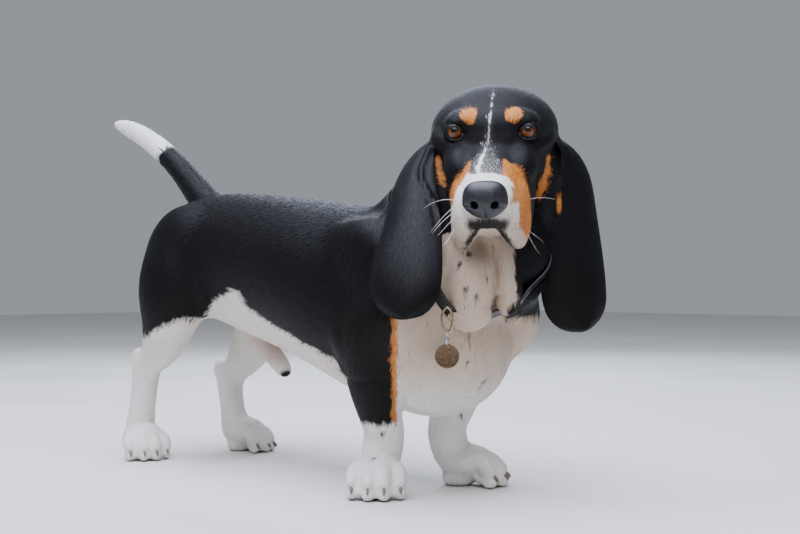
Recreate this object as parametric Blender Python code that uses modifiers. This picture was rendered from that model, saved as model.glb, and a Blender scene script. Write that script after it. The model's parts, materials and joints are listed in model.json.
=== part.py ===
"""A basset hound standing with its head turned to its right, as a life-size still model.

The hound faces +X, its left side is +Y and +Z is up.  The body is fused from soft forms (lofts and
muscle ellipsoids), smoothed, and then parted by thin cuts into the pieces that a person would name.
All sizes are in metres, first in a frame on the floor between the four paws; the last step moves
everything so that the origin is the middle of the model's base.
"""
import math

import bmesh
import bpy
from mathutils import Matrix, Vector
from mathutils.bvhtree import BVHTree

# Driving dimensions
GAP = 0.0003                     # clearance between touching nodes
WITHERS = 0.345                  # height at the withers
CROUP = 0.376                    # height over the croup
BRISKET = 0.090                  # lowest point of the chest above the floor
CHEST_HALF = 0.118               # half width of the rib cage
EYE_MIDDLE = Vector((0.342, -0.009, 0.417))
HEAD_YAW = math.radians(-52.5)   # the head is turned to the hound's right
HEAD_PITCH = math.radians(30.0)  # the nose points down
EYE_HALF_SPACE = 0.0415          # each eye's distance from the middle of the face
EYE_RADIUS = 0.0115
NOSE_CENTRE = Vector((0.120, -0.002, -0.029))
NOSE_RADII = Vector((0.0165, 0.0244, 0.0184))
LID_THICK = 0.0022
TOE_SPREAD = 0.0178              # spacing of the toe tips
TOE_TIPS = {1.5: Vector((0.030, 0, 0.012)), 0.5: Vector((0.041, 0, 0.012))}
COLLAR_GUIDES = [                # a loose loop: the right side, the throat, the left side and the nape
    (0.302, -0.066, 0.246), (0.311, -0.060, 0.220), (0.322, -0.046, 0.200), (0.334, -0.024, 0.193),
    (0.348, 0.004, 0.200), (0.356, 0.034, 0.222), (0.346, 0.066, 0.256), (0.312, 0.092, 0.296),
    (0.262, 0.090, 0.336), (0.226, 0.052, 0.366), (0.216, 0.006, 0.364), (0.232, -0.040, 0.338),
    (0.268, -0.064, 0.294)]
COLLAR_HEART = (Vector((0.285, 0.012, 0.262)), Vector((0.245, 0.022, 0.315)))
COLLAR_WIDTH = 0.018
COLLAR_THICK = 0.0030
RING_PLACE = Vector((0.3245, -0.0635, 0.2050))
RING_YAW = -52.0                 # the way that the ring and the tag face
RING_TALL = 0.027
RING_WIDE = 0.016
RING_WIRE = 0.0016
LINK_RADIUS = 0.0095
LINK_WIRE = 0.0009
TAG_RADIUS = 0.0135
TAG_THICK = 0.0020
TAG_EYE = 0.0107                 # the tag's eye, above its middle

# How finely the forms are fused and how many triangles each stage keeps
CORE_VOXEL = 0.0045
BODY_VOXEL = 0.0026
BODY_TRIANGLES = 6580
EAR_TRIANGLES = 620

EAR_THICK = 0.0036               # half thickness of the ear's leather in its middle
EAR_CUP = 0.012                  # how far the ear's edges turn in

FACE = Matrix.Translation(EYE_MIDDLE) @ Matrix.Rotation(HEAD_YAW, 4, "Z")
HEAD = (Matrix.Translation(EYE_MIDDLE) @ Matrix.Rotation(HEAD_YAW, 4, "Z")
        @ Matrix.Rotation(HEAD_PITCH, 4, "Y"))


def clear_scene():
    """Removes the startup objects."""
    for obj in list(bpy.data.objects):
        bpy.data.objects.remove(obj)


def new_object(name, mesh, collection):
    """Links a mesh as a named object in a collection."""
    obj = bpy.data.objects.new(name, mesh)
    collection.objects.link(obj)
    return obj


def ellipsoid(name, centre, radii, frame=Matrix.Identity(4), turn=(0, 0, 0), segments=24):
    """A muscle or bone mass: a sphere stretched to three radii, turned in degrees, set in a frame."""
    bm = bmesh.new()
    bmesh.ops.create_uvsphere(bm, u_segments=segments, v_segments=segments // 2, radius=1.0)
    spin = Matrix.Identity(4)
    for angle, axis in zip(turn, "XYZ"):
        spin = Matrix.Rotation(math.radians(angle), 4, axis) @ spin
    bm.transform(frame @ Matrix.Translation(centre) @ spin @ Matrix.Diagonal((*radii, 1.0)))
    mesh = bpy.data.meshes.new(name)
    bm.to_mesh(mesh)
    bm.free()
    return new_object(name, mesh, GUIDES)


def shell(name, rings, frame=Matrix.Identity(4), ends="capped"):
    """A closed mesh over rings of points: capped at both ends, or looped with its last ring on its first."""
    bm = bmesh.new()
    loops = [[bm.verts.new(point) for point in ring] for ring in rings]
    count = len(loops[0])
    following = loops[1:] + ([loops[0]] if ends == "looped" else [])
    for a, b in zip(loops, following):
        for k in range(count):
            bm.faces.new((a[k], a[(k + 1) % count], b[(k + 1) % count], b[k]))
    if ends == "capped":
        bm.faces.new(loops[0])
        bm.faces.new(loops[-1])
    bmesh.ops.recalc_face_normals(bm, faces=bm.faces)
    bm.transform(frame)
    mesh = bpy.data.meshes.new(name)
    bm.to_mesh(mesh)
    bm.free()
    return new_object(name, mesh, GUIDES)


def loft(name, stations, side=(0, 1, 0), frame=Matrix.Identity(4), ring=16, square=2.0, levels=1):
    """A closed tube through (centre, half width, half up, half down) stations.

    Each section stands across the path; its width runs along side.  square is 2 for an ellipse and
    more for a boxier section."""
    side = Vector(side)
    centres = [Vector(s[0]) for s in stations]
    rings = []
    before = Vector((0.13, 0, 1))
    for i, (centre, (_, width, up, down)) in enumerate(zip(centres, stations)):
        tangent = (centres[min(i + 1, len(centres) - 1)] - centres[max(i - 1, 0)]).normalized()
        across = (side - tangent * side.dot(tangent)).normalized()
        above = tangent.cross(across)
        if above.dot(before) < 0:
            above = -above
        before = above
        points = []
        for k in range(ring):
            angle = 2 * math.pi * k / ring
            c, s = math.cos(angle), math.sin(angle)
            c = math.copysign(abs(c) ** (2 / square), c)
            s = math.copysign(abs(s) ** (2 / square), s)
            points.append(centre + across * width * c + above * (up if s > 0 else down) * s)
        rings.append(points)
    obj = shell(name, rings, frame)
    rounded = obj.modifiers.new("Rounded", "SUBSURF")
    rounded.levels = rounded.render_levels = levels
    return obj


def baked(obj):
    """The object with its modifiers applied, as the viewport shows it."""
    graph = bpy.context.evaluated_depsgraph_get()
    mesh = bpy.data.meshes.new_from_object(obj.evaluated_get(graph))
    mesh.transform(obj.matrix_world)
    obj.modifiers.clear()
    old = obj.data
    obj.data = mesh
    obj.matrix_world = Matrix.Identity(4)
    bpy.data.meshes.remove(old)
    return obj


def fused(name, pieces, voxel, smoothing):
    """One closed body from overlapping pieces, with the creases between them worn soft."""
    bm = bmesh.new()
    for piece in pieces:
        baked(piece)
        bm.from_mesh(piece.data)
        bpy.data.objects.remove(piece)
    mesh = bpy.data.meshes.new(name)
    bm.to_mesh(mesh)
    bm.free()
    obj = new_object(name, mesh, GUIDES)
    remesh = obj.modifiers.new("Fuse", "REMESH")
    remesh.mode = "VOXEL"
    remesh.voxel_size = voxel
    smooth = obj.modifiers.new("Soften", "SMOOTH")
    smooth.factor = 0.5
    smooth.iterations = smoothing
    return baked(obj)


def combined(obj, other, operation, solver="MANIFOLD"):
    """Applies a Boolean with another closed object and keeps the largest closed surface."""
    cut = obj.modifiers.new("Cut", "BOOLEAN")
    cut.operation = operation
    cut.object = other
    cut.solver = solver
    return largest(baked(obj))


def largest(obj):
    """Keeps the largest closed surface of a mesh and drops loose scraps."""
    bm = bmesh.new()
    bm.from_mesh(obj.data)
    unseen = set(bm.verts)
    islands = []
    while unseen:
        stack = [unseen.pop()]
        island = set(stack)
        while stack:
            for edge in stack.pop().link_edges:
                for vert in edge.verts:
                    if vert in unseen:
                        unseen.discard(vert)
                        island.add(vert)
                        stack.append(vert)
        islands.append(island)
    keep = max(islands, key=len)
    bmesh.ops.delete(bm, geom=[v for v in bm.verts if v not in keep], context="VERTS")
    bm.to_mesh(obj.data)
    bm.free()
    return obj


def grown(obj, name, distance):
    """A copy of a closed object, its surface moved out along the normals."""
    copy = new_object(name, obj.data.copy(), GUIDES)
    swell = copy.modifiers.new("Swell", "DISPLACE")
    swell.mid_level = 0.0
    swell.strength = distance
    return baked(copy)


def thinned(obj, triangles, spared=None):
    """Reduces a mesh to about so many triangles, keeping them where the surface turns most.

    spared(point) says which points keep more of their triangles than the rest."""
    obj.data.calc_loop_triangles()
    collapse = obj.modifiers.new("Thin", "DECIMATE")
    collapse.ratio = min(1.0, triangles / len(obj.data.loop_triangles))
    collapse.use_collapse_triangulate = True
    if spared:
        group = obj.vertex_groups.new(name="thin")
        for vert in obj.data.vertices:
            group.add([vert.index], 0.97 if spared(vert.co) else 1.0, "REPLACE")
        collapse.vertex_group = group.name
        collapse.vertex_group_factor = 1.0
    return baked(obj)


def mirrored(point, sign):
    """A point moved to the left (+1) or right (-1) side."""
    return Vector((point[0], point[1] * sign, point[2]))


def trunk_forms():
    """Rib cage, loin and croup, the forechest and the muscle over the shoulders and haunches."""
    mid = Vector((0, 1, 0))
    rows = [  # x, top, bottom, half width
        (-0.262, 0.330, 0.262, 0.024),
        (-0.243, 0.352, 0.222, 0.062),
        (-0.205, 0.368, 0.200, 0.088),
        (-0.150, CROUP, 0.196, 0.097),
        (-0.080, 0.371, 0.176, 0.096),
        (-0.005, 0.363, 0.158, 0.105),
        (0.070, 0.353, 0.142, CHEST_HALF),
        (0.140, 0.345, 0.116, CHEST_HALF),
        (0.200, WITHERS, BRISKET, 0.114),
        (0.250, 0.335, 0.092, 0.102),
        (0.290, 0.300, 0.112, 0.084),
        (0.318, 0.262, 0.150, 0.052),
    ]
    stations = [((x, 0, (top + low) / 2), half, (top - low) / 2, (top - low) / 2)
                for x, top, low, half in rows]
    forms = [loft("trunk", stations, mid, square=2.25)]
    forms.append(ellipsoid("forechest", (0.244, 0.008, 0.170), (0.084, 0.102, 0.086)))
    for sign in (1, -1):
        forms.append(ellipsoid("shoulder_blade", (0.205, sign * 0.074, 0.250), (0.062, 0.034, 0.080),
                               turn=(sign * -12, 22, 0)))
        forms.append(ellipsoid("haunch", (-0.160, sign * 0.066, 0.270), (0.078, 0.044, 0.086),
                               turn=(0, 18, 0)))
    forms.append(ellipsoid("shoulder_point_left", (0.276, 0.098, 0.208), (0.048, 0.038, 0.057)))
    forms.append(ellipsoid("shoulder_point_right", (0.262, -0.088, 0.212), (0.042, 0.034, 0.054)))
    return forms


def sheath_form():
    """The sheath under the belly, pointing forward and down."""
    stations = [
        ((-0.100, -0.004, 0.186), 0.013, 0.014, 0.014),
        ((-0.070, -0.004, 0.166), 0.0145, 0.0155, 0.0155),
        ((-0.044, -0.004, 0.148), 0.0145, 0.0150, 0.0150),
        ((-0.025, -0.004, 0.132), 0.0130, 0.0135, 0.0135),
        ((-0.013, -0.004, 0.121), 0.0080, 0.0085, 0.0085),
    ]
    return [loft("sheath", stations)]


def neck_forms():
    """The thick neck, bent from the shoulders round to the turned head, and its dewlap."""
    nape = HEAD @ Vector((-0.098, 0, -0.040))
    poll = HEAD @ Vector((-0.052, 0, -0.044))
    stations = [
        ((0.150, 0.000, 0.245), 0.088, 0.076, 0.080),
        ((0.205, 0.004, 0.278), 0.084, 0.062, 0.084),
        ((0.250, 0.030, 0.328), 0.084, 0.054, 0.078),
        (nape, 0.070, 0.052, 0.060),
        (poll, 0.054, 0.046, 0.050),
    ]
    throat = [
        (HEAD @ Vector((-0.010, 0, -0.086)), 0.042, 0.026, 0.026),
        ((0.312, -0.016, 0.296), 0.056, 0.038, 0.036),
        ((0.300, -0.008, 0.252), 0.062, 0.046, 0.040),
        ((0.276, -0.002, 0.206), 0.062, 0.050, 0.050),
    ]
    forms = [loft("neck", stations, (0.45, 1, 0)), loft("throat", throat, (0.5, 1, 0))]
    forms.append(ellipsoid("neck_side", (0.306, 0.060, 0.280), (0.056, 0.056, 0.078)))
    return forms


DEWLAP = {  # the hanging folds of the throat: middle in the face's frame, half width, half depth
    "wide": [((-0.022, -0.016, -0.112), 0.018, 0.020), ((-0.006, -0.024, -0.135), 0.028, 0.025),
             ((0.004, -0.026, -0.160), 0.031, 0.029), ((0.003, -0.024, -0.184), 0.030, 0.029),
             ((-0.006, -0.020, -0.206), 0.022, 0.024), ((-0.018, -0.016, -0.221), 0.010, 0.013)],
    "narrow": [((-0.024, 0.010, -0.112), 0.010, 0.016), ((-0.014, 0.014, -0.134), 0.014, 0.020),
               ((-0.010, 0.018, -0.158), 0.016, 0.022), ((-0.014, 0.020, -0.180), 0.018, 0.022),
               ((-0.022, 0.022, -0.198), 0.013, 0.018), ((-0.030, 0.022, -0.208), 0.006, 0.008)],
}


def dewlap_forms():
    """The loose skin of the throat, hanging in a wide and a narrow fold."""
    return [loft("dewlap", [(FACE @ Vector(place), half, deep, deep) for place, half, deep in fold],
                 (0.793, 0.609, 0)) for fold in DEWLAP.values()]


HOCKS = {  # the middle of each hock joint
    "hindleg_left": Vector((-0.240, 0.072, 0.104)),
    "hindleg_right": Vector((-0.226, -0.083, 0.128)),
}


def upper_leg_forms():
    """The upper arms and the thighs, which the trunk's skin runs over."""
    forms = []
    for sign in (1, -1):
        arm = [
            (mirrored((0.258, 0.088, 0.230), sign), 0.034, 0.040, 0.040),
            (mirrored((0.240, 0.098, 0.195), sign), 0.034, 0.040, 0.040),
            (mirrored((0.226, 0.097, 0.160), sign), 0.031, 0.036, 0.036),
            (mirrored((0.228, 0.086, 0.125), sign), 0.027, 0.029, 0.029),
        ]
        forms.append(loft("upper_arm", arm))
        forms.append(ellipsoid("elbow", mirrored((0.203, 0.104, 0.176), sign), (0.020, 0.018, 0.026)))
    for sign, name in ((1, "hindleg_left"), (-1, "hindleg_right")):
        hock = HOCKS[name]
        knee = Vector((-0.110, -0.098, 0.200)) if sign < 0 else Vector((-0.150, 0.094, 0.190))
        shank = knee.lerp(hock, 0.5)
        thigh = [
            (mirrored((-0.185, 0.060, 0.310), sign), 0.040, 0.056, 0.050),
            (mirrored((-0.165, 0.078, 0.268), sign), 0.044, 0.066, 0.062),
            (mirrored((-0.158, 0.090, 0.226), sign), 0.042, 0.062, 0.064),
            (shank + Vector((0.004, 0, 0.012)), 0.034, 0.042, 0.042),
            (shank.lerp(hock, 0.5) + Vector((0.004, 0, 0)), 0.026, 0.031, 0.031),
            (hock, 0.020, 0.026, 0.026),
        ]
        forms.append(loft("thigh", thigh, square=2.1))
    return forms


def tail_forms():
    """The tail, carried up and back."""
    stations = [
        ((-0.155, 0, 0.325), 0.032, 0.032, 0.032),
        ((-0.195, 0, 0.356), 0.026, 0.026, 0.026),
        ((-0.232, 0, 0.388), 0.0205, 0.0205, 0.0205),
        ((-0.272, 0, 0.420), 0.0180, 0.0180, 0.0180),
        ((-0.320, 0, 0.450), 0.0172, 0.0172, 0.0172),
        ((-0.372, 0, 0.475), 0.0160, 0.0160, 0.0160),
        ((-0.412, 0, 0.488), 0.0125, 0.0125, 0.0125),
        ((-0.438, 0, 0.494), 0.0055, 0.0055, 0.0055),
    ]
    return [loft("tail", stations)]


def paw_forms(frame, size=1.0):
    """A broad paw with four arched toes, in a frame with +X along the middle toes."""
    forms = [
        ellipsoid("knuckles", (-0.004, 0, 0.029), (0.034 * size, 0.031 * size, 0.022), frame),
        ellipsoid("heel_pad", (-0.014, 0, 0.010), (0.021 * size, 0.023 * size, 0.016), frame),
    ]
    for place in (-1.5, -0.5, 0.5, 1.5):
        outer = abs(place) > 1
        root = Vector((0.000, place * 0.0130, 0.032))
        knuckle = Vector((0.018 if outer else 0.026, place * 0.0170, 0.029))
        tip = TOE_TIPS[abs(place)].copy()
        tip.y = place * TOE_SPREAD
        toe = [
            (root * size, 0.0100, 0.0105, 0.0105),
            ((root.lerp(knuckle, 0.6) + Vector((0, 0, 0.003))) * size, 0.0098, 0.0105, 0.0105),
            (knuckle * size, 0.0100, 0.0105, 0.0110),
            (knuckle.lerp(tip, 0.6) * size, 0.0098, 0.0102, 0.0110),
            (tip * size, 0.0080, 0.0082, 0.0085),
        ]
        forms.append(loft("toe", toe, (0, 1, 0), frame, ring=12))
        forms.append(ellipsoid("toe_pad", ((tip.x - 0.004) * size, tip.y * size, 0.0062),
                               (0.0095 * size, 0.0078 * size, 0.0078), frame, segments=16))
    return forms


def floor_frame(x, y, yaw):
    """A frame on the floor, turned about the vertical by yaw degrees."""
    return Matrix.Translation((x, y, 0)) @ Matrix.Rotation(math.radians(yaw), 4, "Z")


PAWS = {  # place on the floor, turn and size of each paw
    "foreleg_left": (0.250, 0.060, 34, 1.04),
    "foreleg_right": (0.226, -0.076, -46, 1.04),
    "hindleg_left": (-0.184, 0.064, 22, 0.90),
    "hindleg_right": (-0.229, -0.086, -20, 0.96),
}


def lower_leg_forms():
    """Forearms, hocks and pasterns down to the paws."""
    forms = []
    for sign, name in ((1, "foreleg_left"), (-1, "foreleg_right")):
        x, y, yaw, size = PAWS[name]
        frame = floor_frame(x, y, yaw)
        wrist = frame @ Vector((-0.030, -sign * 0.010, 0.066))
        pastern = frame @ Vector((-0.022, -sign * 0.003, 0.038))
        elbow = mirrored((0.227, 0.094, 0.158), sign)
        stations = [
            (elbow, 0.030, 0.036, 0.036),
            (elbow.lerp(wrist, 0.45), 0.0285, 0.0310, 0.0310),
            (elbow.lerp(wrist, 0.8), 0.0255, 0.0270, 0.0270),
            (wrist, 0.0250, 0.0260, 0.0260),
            (pastern, 0.0260, 0.0260, 0.0260),
            (frame @ Vector((-0.010, 0, 0.018)), 0.022, 0.022, 0.022),
        ]
        forms.append(loft("forearm", stations))
        forms.append(ellipsoid("dewclaw", (-0.034, -sign * 0.018, 0.052), (0.009, 0.009, 0.012), frame))
        forms += paw_forms(frame, size)
    for sign, name in ((1, "hindleg_left"), (-1, "hindleg_right")):
        x, y, yaw, size = PAWS[name]
        frame = floor_frame(x, y, yaw)
        hock = HOCKS[name]
        pastern = frame @ Vector((-0.022, 0, 0.034))
        stations = [
            (hock + Vector((0.008, 0, 0.024)), 0.020, 0.026, 0.026),
            (hock, 0.0200, 0.0265, 0.0265),
            (hock.lerp(pastern, 0.35), 0.0195, 0.0215, 0.0215),
            (hock.lerp(pastern, 0.75), 0.0200, 0.0210, 0.0210),
            (pastern, 0.0225, 0.0235, 0.0235),
            (frame @ Vector((-0.012, 0, 0.016)), 0.022, 0.022, 0.022),
        ]
        forms.append(loft("hock", stations))
        forms.append(ellipsoid("heel_bone", hock + Vector((-0.020, 0, 0.010)), (0.014, 0.014, 0.020)))
        forms += paw_forms(frame, size)
    return forms


def head_forms():
    """Skull, brows, cheeks, muzzle, hanging lips and the lower jaw, in the head's own frame."""
    forms = [
        ellipsoid("skull", (-0.062, 0.001, -0.026), (0.084, 0.077, 0.050), HEAD),
        ellipsoid("forehead", (-0.030, 0, -0.010), (0.040, 0.056, 0.032), HEAD),
        ellipsoid("occiput", (-0.124, 0, -0.018), (0.024, 0.026, 0.021), HEAD),
    ]
    muzzle = [
        ((-0.040, 0, -0.040), 0.052, 0.038, 0.038),
        ((-0.004, 0, -0.037), 0.043, 0.032, 0.034),
        ((0.030, 0, -0.040), 0.0350, 0.029, 0.032),
        ((0.062, 0, -0.042), 0.0325, 0.028, 0.030),
        ((0.092, 0, -0.043), 0.0315, 0.028, 0.028),
        ((0.114, 0, -0.041), 0.0285, 0.027, 0.026),
        ((0.126, 0, -0.040), 0.0215, 0.021, 0.021),
    ]
    forms.append(loft("muzzle", muzzle, frame=HEAD, square=2.3))
    jaw = [
        ((-0.050, 0, -0.072), 0.040, 0.022, 0.022),
        ((0.000, 0, -0.080), 0.030, 0.020, 0.017),
        ((0.045, 0, -0.082), 0.0230, 0.018, 0.015),
        ((0.082, 0, -0.080), 0.0190, 0.018, 0.014),
        ((0.101, 0, -0.076), 0.0130, 0.014, 0.011),
    ]
    forms.append(loft("jaw", jaw, frame=HEAD))
    for sign in (1, -1):
        forms.append(ellipsoid("cheek", (-0.052, sign * 0.046, -0.046), (0.050, 0.028, 0.042), HEAD,
                               turn=(0, 12, sign * -10)))
        forms.append(ellipsoid("cheekbone", (-0.022, sign * 0.052, -0.021), (0.034, 0.018, 0.016), HEAD,
                               turn=(0, 0, sign * -28)))
        forms.append(ellipsoid("ear_root", (-0.090, sign * 0.057, -0.062), (0.036, 0.024, 0.060), FACE))
        forms.append(ellipsoid("ear_base", (-0.080, sign * 0.070, -0.034), (0.028, 0.020, 0.040), FACE))
        forms.append(ellipsoid("brow", (-0.020, sign * 0.036, 0.008), (0.021, 0.021, 0.010), HEAD,
                               turn=(sign * -18, 0, 0)))
        forms.append(ellipsoid("under_eye", (0.004, sign * 0.034, -0.036), (0.046, 0.022, 0.026), HEAD))
        lip = [
            ((0.113, sign * 0.012, -0.054), 0.012, 0.014, 0.016),
            ((0.099, sign * 0.0235, -0.060), 0.0145, 0.026, 0.034),
            ((0.074, sign * 0.0295, -0.066), 0.0150, 0.034, 0.050),
            ((0.042, sign * 0.0330, -0.068), 0.0155, 0.034, 0.048),
            ((0.010, sign * 0.036, -0.064), 0.0150, 0.030, 0.036),
            ((-0.022, sign * 0.040, -0.058), 0.0130, 0.022, 0.022),
        ]
        forms.append(loft("lip", lip, (0, 1, sign * 0.06), HEAD, ring=14, square=2.5))
    return forms


EARS = {  # place in the face's frame, half width, twist of the ear's breadth in degrees
    "ear_left": [
        ((-0.066, 0.054, 0.004), 0.022, 84),
        ((-0.074, 0.077, -0.002), 0.026, 80),
        ((-0.080, 0.094, -0.018), 0.031, 66),
        ((-0.083, 0.101, -0.044), 0.035, 52),
        ((-0.084, 0.103, -0.076), 0.037, 46),
        ((-0.085, 0.101, -0.106), 0.040, 38),
        ((-0.086, 0.100, -0.140), 0.044, 33),
        ((-0.084, 0.101, -0.175), 0.045, 30),
        ((-0.083, 0.103, -0.202), 0.042, 28),
        ((-0.083, 0.105, -0.220), 0.030, 28),
        ((-0.083, 0.106, -0.230), 0.010, 28),
    ],
    "ear_right": [
        ((-0.066, -0.054, 0.004), 0.022, 84),
        ((-0.070, -0.075, -0.002), 0.026, 76),
        ((-0.058, -0.094, -0.020), 0.030, 62),
        ((-0.026, -0.099, -0.050), 0.032, 46),
        ((0.008, -0.097, -0.083), 0.036, 32),
        ((0.033, -0.096, -0.113), 0.040, 24),
        ((0.055, -0.096, -0.142), 0.043, 20),
        ((0.069, -0.095, -0.168), 0.043, 20),
        ((0.077, -0.092, -0.189), 0.037, 20),
        ((0.080, -0.090, -0.202), 0.026, 20),
        ((0.081, -0.089, -0.210), 0.009, 20),
    ],
}


def ear_form(name, sign):
    """A long ear hanging from the side of the head, its edges turned in towards the throat."""
    side_of_leather = 12
    rings = []
    places = [Vector(p) for p, _, _ in EARS[name]]
    for i, (_, half, twist) in enumerate(EARS[name]):
        along = (places[min(i + 1, len(places) - 1)] - places[max(i - 1, 0)]).normalized()
        angle = math.radians(twist)
        across = Vector((-math.sin(angle), sign * math.cos(angle), 0))
        across = (across - along * across.dot(along)).normalized()
        out = along.cross(across)
        if out.dot(Vector((math.cos(angle), sign * math.sin(angle), 0))) < 0:
            out = -out
        spread = min(1.0, i / 4)
        points = []
        for k in range(2 * side_of_leather):
            turn = math.pi * (k + 0.5) / side_of_leather
            w = math.cos(turn)
            thick = EAR_THICK * (0.42 + 0.58 * (1 - w * w)) * math.copysign(min(1, 3 * abs(math.sin(turn))),
                                                                            math.sin(turn))
            cup = -EAR_CUP * spread * (abs(w) ** 2.4) * (1.5 if w < 0 else 1.0)
            points.append(places[i] + across * half * w + out * (thick + cup))
        rings.append(points)
    obj = shell(name, rings, FACE)
    rounded = obj.modifiers.new("Rounded", "SUBSURF")
    rounded.levels = rounded.render_levels = 1
    return baked(obj)


def whole_body():
    """All flesh but the ears, fused: first the big masses, worn very soft, then the fine ones."""
    core = fused("core", trunk_forms() + neck_forms() + upper_leg_forms(), CORE_VOXEL, 60)
    head = fused("head_core", head_forms(), BODY_VOXEL, 12)
    folds = fused("folds", dewlap_forms(), BODY_VOXEL, 10)
    pieces = [core, head, folds] + sheath_form() + tail_forms() + lower_leg_forms()
    return fused("body", pieces, BODY_VOXEL, 7)


def block(name, frame, low, high):
    """A plain box between two corners in a frame, as a cutter or a region."""
    bm = bmesh.new()
    bmesh.ops.create_cube(bm, size=1.0)
    low, high = Vector(low), Vector(high)
    bm.transform(frame @ Matrix.Translation((low + high) / 2) @ Matrix.Diagonal((*(high - low), 1.0)))
    mesh = bpy.data.meshes.new(name)
    bm.to_mesh(mesh)
    bm.free()
    return new_object(name, mesh, GUIDES)


def plane_frame(point, normal):
    """A frame whose +Z is the normal of a cutting plane through a point."""
    spin = Vector(normal).normalized().to_track_quat("Z", "Y").to_matrix().to_4x4()
    return Matrix.Translation(point) @ spin


def parted(body, region, name):
    """Parts off what lies inside a closed region, with the clearance of touching nodes."""
    bm = bmesh.new()
    bm.from_mesh(region.data)
    bmesh.ops.triangulate(bm, faces=bm.faces)
    bm.to_mesh(region.data)
    bm.free()
    wide = grown(region, "wide_region", GAP)
    piece = new_object(name, body.data.copy(), GUIDES)
    combined(piece, region, "INTERSECT")
    combined(body, wide, "DIFFERENCE")
    bpy.data.objects.remove(wide)
    bpy.data.objects.remove(region)
    return piece


def sliced(piece, height, lower_name):
    """Parts a leg at a height; the upper piece keeps its name."""
    span = 1.0
    floor = block("slice", Matrix.Identity(4), (-span, -span, -span), (span, span, height))
    return parted(piece, floor, lower_name)


def eye_places():
    """The two eyeballs' middles, a little behind the front of the lids."""
    return {"eye_left": HEAD @ Vector((-0.009, EYE_HALF_SPACE, -0.0050)),
            "eye_right": HEAD @ Vector((-0.009, -EYE_HALF_SPACE, -0.0050))}


def looking(centre):
    """A frame at an eye: +X looks forward along the face and a little outward."""
    return Matrix.Translation(centre) @ Matrix.Rotation(HEAD_YAW, 4, "Z")


def ball(name, centre, radius, segments=16):
    """A sphere."""
    return ellipsoid(name, centre, (radius, radius, radius), segments=segments)


def eyes_and_lids(body):
    """Lids raised over the eyeballs, the slit between them, and the eyeballs in their sockets."""
    eyes = []
    for name, centre in eye_places().items():
        frame = looking(centre)
        combined(body, ball("lid", centre, EYE_RADIUS + LID_THICK), "UNION")
        slit = ellipsoid("slit", (EYE_RADIUS + 0.002, 0, 0), (0.013, 0.0105, 0.0078), frame)
        combined(body, slit, "DIFFERENCE")
        combined(body, ball("socket", centre, EYE_RADIUS + GAP), "DIFFERENCE")
        eyes.append(ball(name, centre, EYE_RADIUS))
    return eyes


def nose_form(body):
    """The nose leather with its two nostrils, set into the front of the muzzle."""
    nose = ellipsoid("nose", NOSE_CENTRE, NOSE_RADII, HEAD, segments=20)
    for sign in (1, -1):
        place = NOSE_CENTRE + Vector((0.0140, sign * 0.0118, -0.003))
        nostril = ellipsoid("nostril", place, (0.010, 0.0042, 0.0036), HEAD,
                            turn=(sign * 30, 0, sign * 20), segments=12)
        combined(nose, nostril, "DIFFERENCE")
    combined(body, ellipsoid("nose_seat", NOSE_CENTRE, NOSE_RADII + Vector((GAP, GAP, GAP)), HEAD,
                             segments=20), "DIFFERENCE")
    return nose


def mouth_line(body):
    """A groove along the edge of the hanging lips, across the chin and back to the mouth's corners."""
    half = [(0.1205, 0.000, -0.0585), (0.1145, 0.010, -0.0665), (0.1130, 0.018, -0.0740),
            (0.1050, 0.024, -0.0850), (0.0900, 0.028, -0.0985), (0.0650, 0.031, -0.1090)]
    path = [mirrored(p, -1) for p in reversed(half[1:])] + [Vector(p) for p in half]
    groove = loft("groove", [(p, 0.0016, 0.0016, 0.0016) for p in path], (0, 0, 1), HEAD, ring=8, levels=1)
    combined(body, baked(groove), "DIFFERENCE")


def leg_regions():
    """Closed regions that hold each whole leg with its shoulder or thigh."""
    regions = {}
    for sign, side in ((1, "left"), (-1, "right")):
        x, y, _, _ = PAWS["foreleg_" + side]
        front = [
            ((0.196, sign * 0.150, 0.318), 0.050, 0.020, 0.020),
            ((0.210, sign * 0.148, 0.290), 0.066, 0.046, 0.046),
            ((0.238, sign * 0.146, 0.235), 0.072, 0.066, 0.066),
            ((0.230, sign * 0.132, 0.185), 0.064, 0.062, 0.062),
            ((0.226, sign * 0.104, 0.140), 0.044, 0.048, 0.048),
            (((0.226 + x) / 2, sign * 0.080, 0.095), 0.042, 0.046, 0.046),
            ((x, y, 0.045), 0.052, 0.058, 0.058),
            ((x, y, 0.010), 0.062, 0.066, 0.066),
            ((x, y, -0.020), 0.062, 0.066, 0.066),
        ]
        regions["foreleg_" + side] = baked(loft("region", front, ring=14, levels=0))
        x, y, _, _ = PAWS["hindleg_" + side]
        hock = HOCKS["hindleg_" + side]
        back = [
            ((-0.190, sign * 0.120, 0.350), 0.040, 0.030, 0.030),
            ((-0.180, sign * 0.116, 0.318), 0.060, 0.060, 0.060),
            ((-0.165, sign * 0.114, 0.262), 0.072, 0.088, 0.088),
            ((-0.165, sign * 0.110, 0.210), 0.072, 0.080, 0.080),
            ((-0.190, sign * 0.100, 0.160), 0.056, 0.060, 0.060),
            ((hock.x, hock.y, 0.115), 0.046, 0.056, 0.056),
            ((x, y, 0.050), 0.050, 0.064, 0.064),
            ((x, y, 0.010), 0.056, 0.066, 0.066),
            ((x, y, -0.020), 0.056, 0.066, 0.066),
        ]
        regions["hindleg_" + side] = baked(loft("region", back, ring=14, levels=0))
    return regions


def joined(obj, others):
    """Joins closed objects to another by one union on their collection."""
    group = bpy.data.collections.new("joining")
    for other in others:
        group.objects.link(other)
    join = obj.modifiers.new("Join", "BOOLEAN")
    join.operation = "UNION"
    join.operand_type = "COLLECTION"
    join.collection = group
    join.solver = "EXACT"
    baked(obj)
    for other in others:
        bpy.data.objects.remove(other)
    bpy.data.collections.remove(group)
    return largest(obj)


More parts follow.
